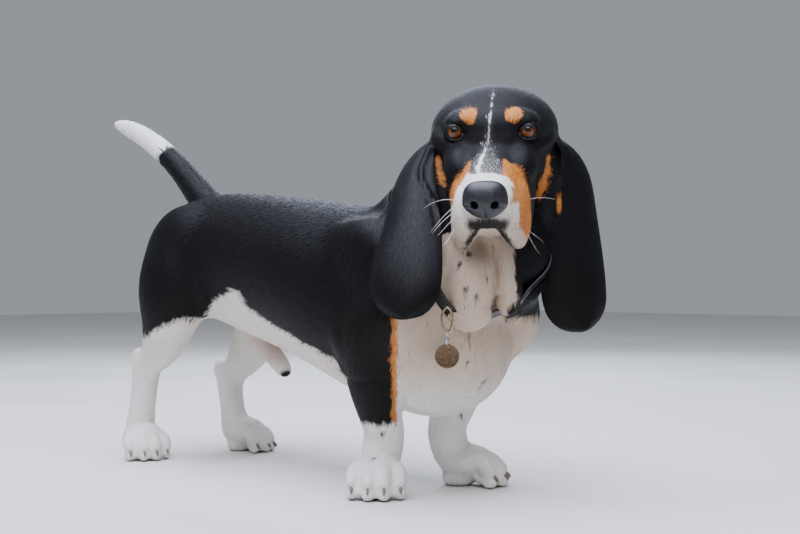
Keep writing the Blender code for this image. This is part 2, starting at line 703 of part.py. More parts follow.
def clawed(paw, name):
    """Joins a short blunt claw to each of a paw's four toes."""
    x, y, yaw, size = PAWS[name]
    frame = floor_frame(x, y, yaw)
    claws = []
    for place in (-1.5, -0.5, 0.5, 1.5):
        tip = TOE_TIPS[abs(place)].copy()
        tip.y = place * TOE_SPREAD
        tip *= size
        claw = [
            (tip + Vector((-0.004, 0, 0.003)), 0.0030, 0.0036, 0.0036),
            (tip + Vector((0.002, 0, 0.002)), 0.0028, 0.0034, 0.0034),
            (tip + Vector((0.0055, 0, -0.001)), 0.0023, 0.0028, 0.0028),
            (tip + Vector((0.0080, 0, -0.0050)), 0.0014, 0.0017, 0.0017),
        ]
        claws.append(baked(loft("claw", claw, frame=frame, ring=6, levels=0)))
    return joined(paw, claws)


def around(body, clear):
    """Points round the neck along the collar's guides, each a little outside the skin."""
    tree = BVHTree.FromObject(body, bpy.context.evaluated_depsgraph_get())
    guides = [Vector(p) for p in COLLAR_GUIDES]
    low, high = COLLAR_HEART
    steps = 4
    points = []
    for i, here in enumerate(guides):
        before, after, beyond = guides[i - 1], guides[(i + 1) % len(guides)], guides[(i + 2) % len(guides)]
        for k in range(steps):
            t = k / steps
            point = 0.5 * (2 * here + (after - before) * t
                           + (2 * before - 5 * here + 4 * after - beyond) * t ** 2
                           + (3 * here - before - 3 * after + beyond) * t ** 3)
            share = min(1.0, max(0.0, (point.z - 0.20) / 0.16))
            heart = low.lerp(high, share)
            ray = (point - heart).normalized()
            hit = tree.ray_cast(heart, ray)[0]
            points.append(hit + ray * clear)
    count = len(points)
    return [(points[k - 2] + points[k - 1] + points[k] * 2 + points[(k + 1) % count]
             + points[(k + 2) % count]) / 6 for k in range(count)]


def strap(name, points, width, thickness):
    """A flat closed band that follows a closed run of points, its flat side towards their middle."""
    centre = sum(points, Vector()) / len(points)
    rings = []
    for i, point in enumerate(points):
        along = (points[(i + 1) % len(points)] - points[i - 1]).normalized()
        out = point - centre
        out = (out - along * out.dot(along)).normalized()
        wide = along.cross(out)
        rings.append([point + wide * (a * width / 2) + out * (b * thickness / 2)
                      for a, b in ((-1, -0.6), (-0.8, -1), (0.8, -1), (1, -0.6),
                                   (1, 0.6), (0.8, 1), (-0.8, 1), (-1, 0.6))])
    return shell(name, rings, ends="looped")


def ring_form(name, frame, wide, tall, wire, turns=20, sides=8):
    """An oval ring of round wire lying in a frame's XY plane."""
    rings = []
    for i in range(turns):
        angle = 2 * math.pi * i / turns
        out = Vector((math.cos(angle), math.sin(angle), 0))
        middle = Vector((out.x * wide, out.y * tall, 0))
        rings.append([middle + out * wire * math.cos(a) + Vector((0, 0, wire * math.sin(a)))
                      for a in (2 * math.pi * k / sides for k in range(sides))])
    return shell(name, rings, frame, ends="looped")


def hanging(point, yaw):
    """A frame at a point: +Z looks out level at yaw degrees from +X, and +Y is up."""
    out = Vector((math.cos(math.radians(yaw)), math.sin(math.radians(yaw)), 0))
    up = Vector((0, 0, 1))
    return Matrix.Translation(point) @ Matrix((up.cross(out), up, out)).transposed().to_4x4()


def disc(name, frame, radius, thickness, sides=28):
    """A flat disc in a frame's XY plane, its rims a little bevelled."""
    rings = []
    for z, r in ((-0.5, 0.94), (-0.3, 1.0), (0.3, 1.0), (0.5, 0.94)):
        rings.append([Vector((r * radius * math.cos(a), r * radius * math.sin(a), z * thickness))
                      for a in (2 * math.pi * k / sides for k in range(sides))])
    return shell(name, rings, frame)


def collar_fittings():
    """The steel ring that hangs on the collar at the throat, a small ring through it and the round tag."""
    ring = ring_form("collar_ring", hanging(RING_PLACE, RING_YAW), RING_WIDE / 2, RING_TALL / 2, RING_WIRE)
    drop = RING_TALL / 2 - RING_WIRE - GAP + LINK_RADIUS - LINK_WIRE
    link_place = RING_PLACE - Vector((0, 0, drop))
    link = ring_form("tag_ring", hanging(link_place, RING_YAW + 90), LINK_RADIUS, LINK_RADIUS, LINK_WIRE,
                     turns=16)
    eye_place = link_place - Vector((0, 0, LINK_RADIUS))
    tag = disc("tag", hanging(eye_place - Vector((0, 0, TAG_EYE)), RING_YAW), TAG_RADIUS, TAG_THICK)
    combined(tag, disc("eye", hanging(eye_place, RING_YAW), 2 * LINK_WIRE, 0.01, sides=12), "DIFFERENCE")
    return [ring, link, tag]


FINISHES = {  # start of the node's name: colour, roughness, metallic
    "torso": ((0.012, 0.011, 0.012), 0.55, 0.0),
    "neck": ((0.030, 0.026, 0.024), 0.58, 0.0),
    "head": ((0.130, 0.066, 0.035), 0.55, 0.0),
    "ear": ((0.014, 0.010, 0.009), 0.52, 0.0),
    "shoulder": ((0.012, 0.011, 0.012), 0.55, 0.0),
    "thigh": ((0.014, 0.012, 0.012), 0.55, 0.0),
    "foreleg": ((0.560, 0.520, 0.470), 0.62, 0.0),
    "hindleg": ((0.560, 0.520, 0.470), 0.62, 0.0),
    "paw": ((0.520, 0.470, 0.410), 0.62, 0.0),
    "tail": ((0.020, 0.018, 0.018), 0.55, 0.0),
    "eye": ((0.060, 0.028, 0.012), 0.08, 0.0),
    "nose": ((0.008, 0.008, 0.009), 0.35, 0.0),
    "collar": ((0.010, 0.010, 0.011), 0.50, 0.0),
    "collar_ring": ((0.560, 0.400, 0.240), 0.32, 1.0),
    "tag_ring": ((0.600, 0.600, 0.610), 0.30, 1.0),
    "tag": ((0.270, 0.200, 0.120), 0.40, 1.0),
}


def finish(node):
    """A node's own material, its colour, roughness and metallic by the start of its name."""
    key = node if node in FINISHES else node.split("_")[0]
    colour, rough, metallic = FINISHES[key]
    material = bpy.data.materials.new(node)
    material.use_nodes = True
    shader = material.node_tree.nodes["Principled BSDF"]
    shader.inputs["Base Color"].default_value = (*colour, 1.0)
    shader.inputs["Roughness"].default_value = rough
    shader.inputs["Metallic"].default_value = metallic
    return material


def base_middle(pieces):
    """The middle of the base of the box round all pieces."""
    points = [vert.co for piece in pieces for vert in piece.data.vertices]
    low = Vector(min(p[axis] for p in points) for axis in range(3))
    high = Vector(max(p[axis] for p in points) for axis in range(3))
    return Vector(((low.x + high.x) / 2, (low.y + high.y) / 2, low.z))


def in_face(point):
    """Whether a point lies in the front of the head."""
    place = HEAD.inverted() @ point
    return place.x > -0.05 and abs(place.y) < 0.07 and -0.13 < place.z < 0.05


def main():
    body = thinned(whole_body(), BODY_TRIANGLES, in_face)
    floor = block("floor", Matrix.Identity(4), (-1, -1, -0.1), (1, 1, 0))
    combined(body, floor, "DIFFERENCE")
    skin = grown(body, "skin", GAP)
    points = around(body, COLLAR_THICK / 2 + GAP)
    collar = combined(strap("collar", points, COLLAR_WIDTH, COLLAR_THICK), skin, "DIFFERENCE")
    fittings = collar_fittings()
    pieces = [collar] + fittings
    worn = [grown(piece, "worn", GAP) for piece in fittings]
    worn.append(strap("wide", points, COLLAR_WIDTH + 4 * GAP, COLLAR_THICK + 4 * GAP))
    for name, sign in (("ear_left", 1), ("ear_right", -1)):
        ear = combined(thinned(ear_form(name, sign), EAR_TRIANGLES), skin, "DIFFERENCE")
        for thing in worn:
            combined(ear, thing, "DIFFERENCE")
        pieces.append(ear)
    mouth_line(body)
    pieces += eyes_and_lids(body)
    pieces.append(nose_form(body))
    for name, region in leg_regions().items():
        side = name.split("_")[1]
        front = name.startswith("fore")
        upper = parted(body, region, ("shoulder_" if front else "thigh_") + side)
        lower = sliced(upper, 0.132 if front else 0.158, name)
        paw = sliced(lower, 0.052 if front else 0.046, ("paw_front_" if front else "paw_hind_") + side)
        pieces += [upper, lower, clawed(paw, name)]
    tail_plane = plane_frame((-0.214, 0, 0.372), (-0.75, 0, 0.66))
    rings = [[Vector((side * 0.04, up * wide, along)) for side, up in ((-1, -1), (1, -1), (1, 1), (-1, 1))]
             for along, wide in ((0, 0.04), (0.4, 0.16))]
    pieces.append(parted(body, shell("tail_region", rings, tail_plane), "tail"))
    head_plane = plane_frame(FACE @ Vector((-0.062, 0, -0.078)), FACE.to_3x3() @ Vector((0.632, 0, 0.775)))
    pieces.append(parted(body, block("r", head_plane, (-0.2, -0.2, 0), (0.2, 0.2, 0.5)), "head"))
    neck_plane = plane_frame((0.250, 0, 0.275), (0.66, 0, 0.75))
    pieces.append(parted(body, block("r", neck_plane, (-0.3, -0.3, 0), (0.3, 0.3, 0.5)), "neck"))
    body.name = "torso"
    pieces.append(body)
    base = base_middle(pieces)
    for piece in pieces:
        piece.data.transform(Matrix.Translation(-base))
        piece.data.shade_smooth()
        piece.data.materials.clear()
        piece.data.materials.append(finish(piece.name))
        GUIDES.objects.unlink(piece)
        HOUND.objects.link(piece)
    for guide in list(GUIDES.objects):
        bpy.data.objects.remove(guide)


clear_scene()
GUIDES = bpy.data.collections.new("guides")
bpy.context.scene.collection.children.link(GUIDES)
HOUND = bpy.data.collections.new("basset_hound")
bpy.context.scene.collection.children.link(HOUND)
main()
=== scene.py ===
"""Dresses the basset hound: one skin with its coat, eyes, nose, claws and whiskers, the worn collar
with its ring and tag, and a plain stage.

The forms are set out in a frame on the floor between the paws, in metres, with the hound facing +X
and its left side +Y; SHIFT moves a finished piece to the frame of the model.
"""
import json
import math

import bmesh
import bpy
import numpy as np
from mathutils import Matrix, Vector
from mathutils.bvhtree import BVHTree

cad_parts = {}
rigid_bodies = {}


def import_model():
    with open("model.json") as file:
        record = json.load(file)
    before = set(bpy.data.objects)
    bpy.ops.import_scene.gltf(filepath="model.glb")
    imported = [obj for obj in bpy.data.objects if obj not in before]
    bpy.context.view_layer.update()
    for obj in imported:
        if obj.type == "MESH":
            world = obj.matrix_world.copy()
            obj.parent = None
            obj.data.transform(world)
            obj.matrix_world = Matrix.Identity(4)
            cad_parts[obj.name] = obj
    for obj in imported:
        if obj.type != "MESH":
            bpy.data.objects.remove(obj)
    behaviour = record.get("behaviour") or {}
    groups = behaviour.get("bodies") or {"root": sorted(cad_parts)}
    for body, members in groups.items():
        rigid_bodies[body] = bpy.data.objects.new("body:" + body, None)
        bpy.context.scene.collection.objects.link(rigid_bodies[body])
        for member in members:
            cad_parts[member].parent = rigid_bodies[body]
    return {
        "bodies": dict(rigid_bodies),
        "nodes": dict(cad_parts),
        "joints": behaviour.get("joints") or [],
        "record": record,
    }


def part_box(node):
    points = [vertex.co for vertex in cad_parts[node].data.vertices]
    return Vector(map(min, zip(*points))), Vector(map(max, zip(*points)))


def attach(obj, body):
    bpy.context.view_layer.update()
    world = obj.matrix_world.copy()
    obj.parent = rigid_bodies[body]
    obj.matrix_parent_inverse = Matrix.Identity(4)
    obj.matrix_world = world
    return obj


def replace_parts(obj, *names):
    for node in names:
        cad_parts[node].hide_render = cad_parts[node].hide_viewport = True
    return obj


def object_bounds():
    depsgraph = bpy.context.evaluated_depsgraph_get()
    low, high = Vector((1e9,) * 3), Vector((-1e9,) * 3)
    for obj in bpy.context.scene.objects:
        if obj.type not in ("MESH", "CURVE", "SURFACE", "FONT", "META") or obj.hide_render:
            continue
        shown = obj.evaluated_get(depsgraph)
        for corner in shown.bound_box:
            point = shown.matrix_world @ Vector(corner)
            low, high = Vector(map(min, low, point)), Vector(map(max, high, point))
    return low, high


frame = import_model()
CAD_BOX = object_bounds()

bl_info = {
    "name": "Basset hound",
    "version": (1, 0, 0),
    "blender": (4, 5, 0),
    "location": "View3D > Sidebar > Hound",
    "description": "Dresses the solids of a standing basset hound with skin, coat and collar",
    "category": "Object",
}

# The forms' driving sizes, as in the solids
GAP = 0.0003                     # clearance between touching nodes
WITHERS = 0.345                  # height at the withers
CROUP = 0.376                    # height over the croup
BRISKET = 0.090                  # lowest point of the chest above the floor
CHEST_HALF = 0.118               # half width of the rib cage
EYE_MIDDLE = Vector((0.342, -0.009, 0.417))
HEAD_YAW = math.radians(-52.5)   # the head is turned to the hound's right
HEAD_PITCH = math.radians(30.0)  # the nose points down
EYE_HALF_SPACE = 0.0415          # each eye's distance from the middle of the face
EYE_RADIUS = 0.0115
NOSE_CENTRE = Vector((0.120, -0.002, -0.029))
NOSE_RADII = Vector((0.0165, 0.0244, 0.0184))
LID_THICK = 0.0022
TOE_SPREAD = 0.0178              # spacing of the toe tips
TOE_TIPS = {1.5: Vector((0.030, 0, 0.012)), 0.5: Vector((0.041, 0, 0.012))}
COLLAR_GUIDES = [                # a loose loop: the right side, the throat, the left side and the nape
    (0.302, -0.066, 0.246), (0.311, -0.060, 0.220), (0.322, -0.046, 0.200), (0.334, -0.024, 0.193),
    (0.348, 0.004, 0.200), (0.356, 0.034, 0.222), (0.346, 0.066, 0.256), (0.312, 0.092, 0.296),
    (0.262, 0.090, 0.336), (0.226, 0.052, 0.366), (0.216, 0.006, 0.364), (0.232, -0.040, 0.338),
    (0.268, -0.064, 0.294)]
COLLAR_HEART = (Vector((0.285, 0.012, 0.262)), Vector((0.245, 0.022, 0.315)))
COLLAR_WIDTH = 0.018
COLLAR_THICK = 0.0030
RING_PLACE = Vector((0.3245, -0.0635, 0.2050))
RING_YAW = -52.0                 # the way that the ring and the tag face
RING_TALL = 0.027
RING_WIDE = 0.016
RING_WIRE = 0.0016
LINK_RADIUS = 0.0095
LINK_WIRE = 0.0009
TAG_RADIUS = 0.0135
TAG_THICK = 0.0020
TAG_EYE = 0.0107                 # the tag's eye, above its middle
CORE_VOXEL = 0.0045
EAR_THICK = 0.0036               # half thickness of the ear's leather in its middle
EAR_CUP = 0.012                  # how far the ear's edges turn in
FACE = Matrix.Translation(EYE_MIDDLE) @ Matrix.Rotation(HEAD_YAW, 4, "Z")
HEAD = (Matrix.Translation(EYE_MIDDLE) @ Matrix.Rotation(HEAD_YAW, 4, "Z")
        @ Matrix.Rotation(HEAD_PITCH, 4, "Y"))
FLESH = ["torso", "neck", "head", "tail", "ear_left", "ear_right"] + [
    part + "_" + side for side in ("left", "right")
    for part in ("shoulder", "foreleg", "paw_front", "thigh", "hindleg", "paw_hind")]


def shift():
    """How far the model's frame lies from the frame between the paws."""
    low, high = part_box("eye_left")
    return (Vector(low) + Vector(high)) / 2 - HEAD @ Vector((-0.009, EYE_HALF_SPACE, -0.005))


SHIFT = shift()


def linear(code):
    """An sRGB hex colour as linear red, green and blue."""
    parts = [int(code[k:k + 2], 16) / 255 for k in (1, 3, 5)]
    return tuple(c / 12.92 if c <= 0.04045 else ((c + 0.055) / 1.055) ** 2.4 for c in parts)


def colour_prop(name, code, description):
    """A colour that the user may change."""
    return bpy.props.FloatVectorProperty(name=name, description=description, subtype="COLOR", size=3,
                                         min=0.0, max=1.0, default=linear(code))


def length_prop(name, metres, description):
    """A length that the user may change."""
    return bpy.props.FloatProperty(name=name, description=description, subtype="DISTANCE", unit="LENGTH",
                                   default=metres, min=0.0, precision=5)


class HoundSizes(bpy.types.PropertyGroup):
    """Sizes of the hound's skin, coat and eyes."""
    coat_depth: length_prop("Coat depth", 0.0012, "How far the skin lies inside the coat's outline")
    skin_voxel: length_prop("Skin grain", 0.0018, "Size of the cells that the skin is fused in")
    skin_triangles: bpy.props.IntProperty(
        name="Skin triangles", description="Most triangles that the skin keeps", default=184000, min=1000)
    tufts: bpy.props.IntProperty(
        name="Tufts", description="Number of tufts in the coat", default=147000, min=1000)
    body_hair: length_prop("Body hair", 0.0125, "Length of a tuft on the trunk")
    face_hair: length_prop("Face hair", 0.0052, "Length of a tuft on the face")
    foot_hair: length_prop("Foot hair", 0.0052, "Length of a tuft on the feet")
    iris: length_prop("Iris radius", 0.0092, "Radius of the brown iris")
    pupil: length_prop("Pupil radius", 0.0034, "Radius of the pupil")


class HoundColours(bpy.types.PropertyGroup):
    """Colours of the hound's coat, eyes and leather."""
    black: colour_prop("Black", "#0a090c", "The black of the back, head and ears")
    brown_black: colour_prop("Brown black", "#0c0909", "The warmer black of the sides")
    white: colour_prop("White", "#f3efe9", "The white of the legs, chest and muzzle")
    # Painted shade: a darker, warmer white that stands for the shade and warm bounced light under the chest,
    # throat and belly; it also goes into the chin's colour.
    cream_in_shade: colour_prop("Cream", "#cdb69e", "The duller white of the throat and belly")
    tan: colour_prop("Tan", "#c67c3a", "The tan of the brows and cheeks")
    grey: colour_prop("Ticking", "#5d5a5e", "The dark hairs among the white")
    pink: colour_prop("Bare skin", "#b98d80", "The bare skin of the belly and chin")
    iris: colour_prop("Iris", "#753f18", "The amber brown of the eye")
    leather: colour_prop("Nose leather", "#14121b", "The black leather of the nose")
    horn: colour_prop("Claw horn", "#7b6a5a", "The horn of the claws")


class CollarColours(bpy.types.PropertyGroup):
    """Colours of what the hound wears."""
    strap: colour_prop("Strap", "#17171a", "The black strap")
    thread: colour_prop("Thread", "#2b2b2f", "The stitching of the strap")
    brass: colour_prop("Ring", "#a59678", "The brass-coloured ring")
    steel: colour_prop("Link", "#b9b9bc", "The steel link")
    bronze: colour_prop("Tag", "#75604a", "The dull bronze of the tag")


# Small tools

def alone(*objects):
    """Selects only these objects and makes the first active."""
    bpy.ops.object.select_all(action="DESELECT")
    for obj in objects:
        obj.select_set(True)
    bpy.context.view_layer.objects.active = objects[0]
    return objects[0]


def baked(obj):
    """Applies an object's modifiers and its place, so that the shape is all in its mesh."""
    for modifier in obj.modifiers:
        modifier.show_viewport = False      # so that it is worked out once, when it is applied
    alone(obj)
    for name in [modifier.name for modifier in obj.modifiers]:
        bpy.ops.object.modifier_apply(modifier=name)
    bpy.ops.object.transform_apply(location=True, rotation=True, scale=True)
    return obj


def made_of(mesh, name):
    """Links a mesh as a named object."""
    obj = bpy.data.objects.new(name, mesh)
    bpy.context.scene.collection.objects.link(obj)
    return obj


def primitive(kind, name, matrix=Matrix.Identity(4), **settings):
    """A new primitive, named and set by a matrix that goes into its mesh."""
    bpy.ops.object.select_all(action="DESELECT")
    getattr(bpy.ops.mesh, f"primitive_{kind}_add")(**settings)
    obj = bpy.context.object
    obj.name = name
    obj.matrix_world = matrix
    return baked(obj)


def subdivided(obj, levels):
    """Adds a subdivision, which rounds the object when it is baked."""
    rounded = obj.modifiers.new("Rounded", "SUBSURF")
    rounded.levels = rounded.render_levels = levels
    return obj


def ellipsoid(name, centre, radii, frame=Matrix.Identity(4), turn=(0, 0, 0), segments=24):
    """A muscle or bone mass: a sphere stretched to three radii, turned in degrees, set in a frame."""
    spin = Matrix.Identity(4)
    for angle, axis in zip(turn, "XYZ"):
        spin = Matrix.Rotation(math.radians(angle), 4, axis) @ spin
    matrix = frame @ Matrix.Translation(centre) @ spin @ Matrix.Diagonal((*radii, 1.0))
    return primitive("uv_sphere", name, matrix, segments=segments, ring_count=segments // 2, radius=1.0)


def shell(name, rings, frame=Matrix.Identity(4), ends="capped"):
    """A closed mesh over rings of points: capped at both ends, or looped with its last ring on its first."""
    bm = bmesh.new()
    loops = [[bm.verts.new(point) for point in ring] for ring in rings]
    count = len(loops[0])
    following = loops[1:] + ([loops[0]] if ends == "looped" else [])
    for a, b in zip(loops, following):
        for k in range(count):
            bm.faces.new((a[k], a[(k + 1) % count], b[(k + 1) % count], b[k]))
    if ends == "capped":
        bm.faces.new(loops[0])
        bm.faces.new(loops[-1])
    bmesh.ops.recalc_face_normals(bm, faces=bm.faces)
    bm.transform(frame)
    mesh = bpy.data.meshes.new(name)
    bm.to_mesh(mesh)
    bm.free()
    return made_of(mesh, name)


def loft(name, stations, side=(0, 1, 0), frame=Matrix.Identity(4), ring=16, square=2.0, levels=1):
    """A closed tube through (centre, half width, half up, half down) stations, whose last sizes may
    be left out where they are the same.

    Each section stands across the path; its width runs along side.  square is 2 for an ellipse and
    more for a boxier section."""
    side = Vector(side)
    centres = [Vector(s[0]) for s in stations]
    rings = []
    before = Vector((0.13, 0, 1))
    for i, (centre, (_, *halves)) in enumerate(zip(centres, stations)):
        width, up, down = (halves + halves[-1:] * 2)[:3]
        tangent = (centres[min(i + 1, len(centres) - 1)] - centres[max(i - 1, 0)]).normalized()
        across = (side - tangent * side.dot(tangent)).normalized()
        above = tangent.cross(across)
        if above.dot(before) < 0:
            above = -above
        before = above
        points = []
        for k in range(ring):
            angle = 2 * math.pi * k / ring
            c, s = math.cos(angle), math.sin(angle)
            c = math.copysign(abs(c) ** (2 / square), c)
            s = math.copysign(abs(s) ** (2 / square), s)
            points.append(centre + across * width * c + above * (up if s > 0 else down) * s)
        rings.append(points)
    return subdivided(shell(name, rings, frame), levels)


def mirrored(point, sign):
    """A point moved to the left (+1) or right (-1) side."""
    return Vector((point[0], point[1] * sign, point[2]))


def fused(name, pieces, voxel, smoothing, finer=0):
    """One closed body from overlapping pieces, with the creases between them worn soft."""
    whole = together([baked(piece) for piece in pieces], name)
    remesh = whole.modifiers.new("Fuse", "REMESH")
    remesh.mode = "VOXEL"
    remesh.voxel_size = voxel
    smooth = whole.modifiers.new("Soften", "SMOOTH")
    smooth.factor = 0.5
    smooth.iterations = smoothing
    if finer:
        subdivided(whole, finer)
    return baked(whole)


def combined(obj, other, operation, solver="MANIFOLD"):
    """Applies a Boolean with another closed object, which is then removed."""
    cut = obj.modifiers.new("Cut", "BOOLEAN")
    cut.operation = operation
    cut.object = other
    cut.solver = solver
    baked(obj)
    bpy.data.objects.remove(other)
    return obj


def together(pieces, name="several"):
    """Several pieces that don't touch, as one object."""
    whole = alone(*pieces)
    bpy.ops.object.join()
    whole.name = name
    return whole


def largest(obj):
    """Keeps the largest closed surface of a mesh and drops loose scraps."""
    bm = bmesh.new()
    bm.from_mesh(obj.data)
    unseen = set(bm.verts)
    islands = []
    while unseen:
        stack = [unseen.pop()]
        island = set(stack)
        while stack:
            for edge in stack.pop().link_edges:
                for vert in edge.verts:
                    if vert in unseen:
                        unseen.discard(vert)
                        island.add(vert)
                        stack.append(vert)
        islands.append(island)
    keep = max(islands, key=len)
    bmesh.ops.delete(bm, geom=[v for v in bm.verts if v not in keep], context="VERTS")
    bm.to_mesh(obj.data)
    bm.free()
    return obj


# The hound's forms, as in the solids

def trunk_forms():
    """Rib cage, loin and croup, the forechest and the muscle over the shoulders and haunches."""
    mid = Vector((0, 1, 0))
    rows = [  # x, top, bottom, half width
        (-0.262, 0.330, 0.262, 0.024),
        (-0.243, 0.352, 0.222, 0.062),
        (-0.205, 0.368, 0.200, 0.088),
        (-0.150, CROUP, 0.196, 0.097),
        (-0.080, 0.371, 0.176, 0.096),
        (-0.005, 0.363, 0.158, 0.105),
        (0.070, 0.353, 0.142, CHEST_HALF),
        (0.140, 0.345, 0.116, CHEST_HALF),
        (0.200, WITHERS, BRISKET, 0.114),
        (0.250, 0.335, 0.092, 0.102),
        (0.290, 0.300, 0.112, 0.084),
        (0.318, 0.262, 0.150, 0.052),
    ]
    stations = [((x, 0, (top + low) / 2), half, (top - low) / 2) for x, top, low, half in rows]
    forms = [loft("trunk", stations, mid, square=2.25)]
    forms.append(ellipsoid("forechest", (0.244, 0.008, 0.170), (0.084, 0.102, 0.086)))
    for sign in (1, -1):
        forms.append(ellipsoid("shoulder_blade", (0.205, sign * 0.074, 0.250), (0.062, 0.034, 0.080),
                               turn=(sign * -12, 22, 0)))
        forms.append(ellipsoid("haunch", (-0.160, sign * 0.066, 0.270), (0.078, 0.044, 0.086),
                               turn=(0, 18, 0)))
    forms.append(ellipsoid("shoulder_point_left", (0.276, 0.098, 0.208), (0.048, 0.038, 0.057)))
    forms.append(ellipsoid("shoulder_point_right", (0.262, -0.088, 0.212), (0.042, 0.034, 0.054)))
    return forms


def sheath_form():
    """The sheath under the belly, pointing forward and down."""
    stations = [
        ((-0.100, -0.004, 0.186), 0.013, 0.014),
        ((-0.070, -0.004, 0.166), 0.0145, 0.0155),
        ((-0.044, -0.004, 0.148), 0.0145, 0.0150),
        ((-0.025, -0.004, 0.132), 0.0130, 0.0135),
        ((-0.013, -0.004, 0.121), 0.0080, 0.0085),
    ]
    return [loft("sheath", stations)]


def neck_forms():
    """The thick neck, bent from the shoulders round to the turned head, and its dewlap."""
    nape = HEAD @ Vector((-0.098, 0, -0.040))
    poll = HEAD @ Vector((-0.052, 0, -0.044))
    stations = [
        ((0.150, 0.000, 0.245), 0.088, 0.076, 0.080),
        ((0.205, 0.004, 0.278), 0.084, 0.062, 0.084),
        ((0.250, 0.030, 0.328), 0.084, 0.054, 0.078),
        (nape, 0.070, 0.052, 0.060),
        (poll, 0.054, 0.046, 0.050),
    ]
    throat = [
        (HEAD @ Vector((-0.010, 0, -0.086)), 0.042, 0.026),
        ((0.312, -0.016, 0.296), 0.056, 0.038, 0.036),
        ((0.300, -0.008, 0.252), 0.062, 0.046, 0.040),
        ((0.276, -0.002, 0.206), 0.062, 0.050),
    ]
    forms = [loft("neck", stations, (0.45, 1, 0)), loft("throat", throat, (0.5, 1, 0))]
    forms.append(ellipsoid("neck_side", (0.306, 0.060, 0.280), (0.056, 0.056, 0.078)))
    return forms


DEWLAP = {  # the hanging folds of the throat: middle in the face's frame, half width, half depth
    "wide": [((-0.022, -0.016, -0.112), 0.018, 0.020), ((-0.006, -0.024, -0.135), 0.028, 0.025),
             ((0.004, -0.026, -0.160), 0.031, 0.029), ((0.003, -0.024, -0.184), 0.030, 0.029),
             ((-0.006, -0.020, -0.206), 0.022, 0.024), ((-0.018, -0.016, -0.221), 0.010, 0.013)],
    "narrow": [((-0.024, 0.010, -0.112), 0.010, 0.016), ((-0.014, 0.014, -0.134), 0.014, 0.020),
               ((-0.010, 0.018, -0.158), 0.016, 0.022), ((-0.014, 0.020, -0.180), 0.018, 0.022),
               ((-0.022, 0.022, -0.198), 0.013, 0.018), ((-0.030, 0.022, -0.208), 0.006, 0.008)],
}


def hanging_folds(name, folds):
    """A form for each fold of the throat, as broad as the face turns it."""
    return [loft(name, [(FACE @ Vector(place), half, deep) for place, half, deep in fold], (0.793, 0.609, 0))
            for fold in folds]


def dewlap_forms():
    """The loose skin of the throat, hanging in a wide and a narrow fold."""
    return hanging_folds("dewlap", DEWLAP.values())


HOCKS = {  # the middle of each hock joint
    "hindleg_left": Vector((-0.240, 0.072, 0.104)),
    "hindleg_right": Vector((-0.226, -0.083, 0.128)),
}


def upper_leg_forms():
    """The upper arms and the thighs, which the trunk's skin runs over."""
    forms = []
    for sign in (1, -1):
        arm = [
            (mirrored((0.258, 0.088, 0.230), sign), 0.034, 0.040),
            (mirrored((0.240, 0.098, 0.195), sign), 0.034, 0.040),
            (mirrored((0.226, 0.097, 0.160), sign), 0.031, 0.036),
            (mirrored((0.228, 0.086, 0.125), sign), 0.027, 0.029),
        ]
        forms.append(loft("upper_arm", arm))
        forms.append(ellipsoid("elbow", mirrored((0.203, 0.104, 0.176), sign), (0.020, 0.018, 0.026)))
    for sign, name in ((1, "hindleg_left"), (-1, "hindleg_right")):
        hock = HOCKS[name]
        knee = Vector((-0.110, -0.098, 0.200)) if sign < 0 else Vector((-0.150, 0.094, 0.190))
        shank = knee.lerp(hock, 0.5)
        thigh = [
            (mirrored((-0.185, 0.060, 0.310), sign), 0.040, 0.056, 0.050),
            (mirrored((-0.165, 0.078, 0.268), sign), 0.044, 0.066, 0.062),
            (mirrored((-0.158, 0.090, 0.226), sign), 0.042, 0.062, 0.064),
            (shank + Vector((0.004, 0, 0.012)), 0.034, 0.042),
            (shank.lerp(hock, 0.5) + Vector((0.004, 0, 0)), 0.026, 0.031),
            (hock, 0.020, 0.026),
        ]
        forms.append(loft("thigh", thigh, square=2.1))
    return forms


def tail_forms():
    """The tail, carried up and back."""
    stations = [
        ((-0.155, 0, 0.325), 0.032),
        ((-0.195, 0, 0.356), 0.026),
        ((-0.232, 0, 0.388), 0.0205),
        ((-0.272, 0, 0.420), 0.0180),
        ((-0.320, 0, 0.450), 0.0172),
        ((-0.372, 0, 0.475), 0.0160),
        ((-0.412, 0, 0.488), 0.0125),
        ((-0.438, 0, 0.494), 0.0055),
    ]
    return [loft("tail", stations)]


def paw_forms(frame, size=1.0):
    """A broad paw with four arched toes, in a frame with +X along the middle toes."""
    forms = [
        ellipsoid("knuckles", (-0.004, 0, 0.029), (0.034 * size, 0.031 * size, 0.022), frame),
        ellipsoid("heel_pad", (-0.014, 0, 0.010), (0.021 * size, 0.023 * size, 0.016), frame),
    ]
    for place in (-1.5, -0.5, 0.5, 1.5):
        outer = abs(place) > 1
        root = Vector((0.000, place * 0.0130, 0.032))
        knuckle = Vector((0.018 if outer else 0.026, place * 0.0170, 0.029))
        tip = TOE_TIPS[abs(place)].copy()
        tip.y = place * TOE_SPREAD
        toe = [
            (root * size, 0.0100, 0.0105),
            ((root.lerp(knuckle, 0.6) + Vector((0, 0, 0.003))) * size, 0.0098, 0.0105),
            (knuckle * size, 0.0100, 0.0105, 0.0110),
            (knuckle.lerp(tip, 0.6) * size, 0.0098, 0.0102, 0.0110),
            (tip * size, 0.0080, 0.0082, 0.0085),
        ]
        forms.append(loft("toe", toe, (0, 1, 0), frame, ring=12))
        forms.append(ellipsoid("toe_pad", ((tip.x - 0.004) * size, tip.y * size, 0.0062),
                               (0.0095 * size, 0.0078 * size, 0.0078), frame, segments=16))
    return forms


def floor_frame(x, y, yaw):
    """A frame on the floor, turned about the vertical by yaw degrees."""
    return Matrix.Translation((x, y, 0)) @ Matrix.Rotation(math.radians(yaw), 4, "Z")


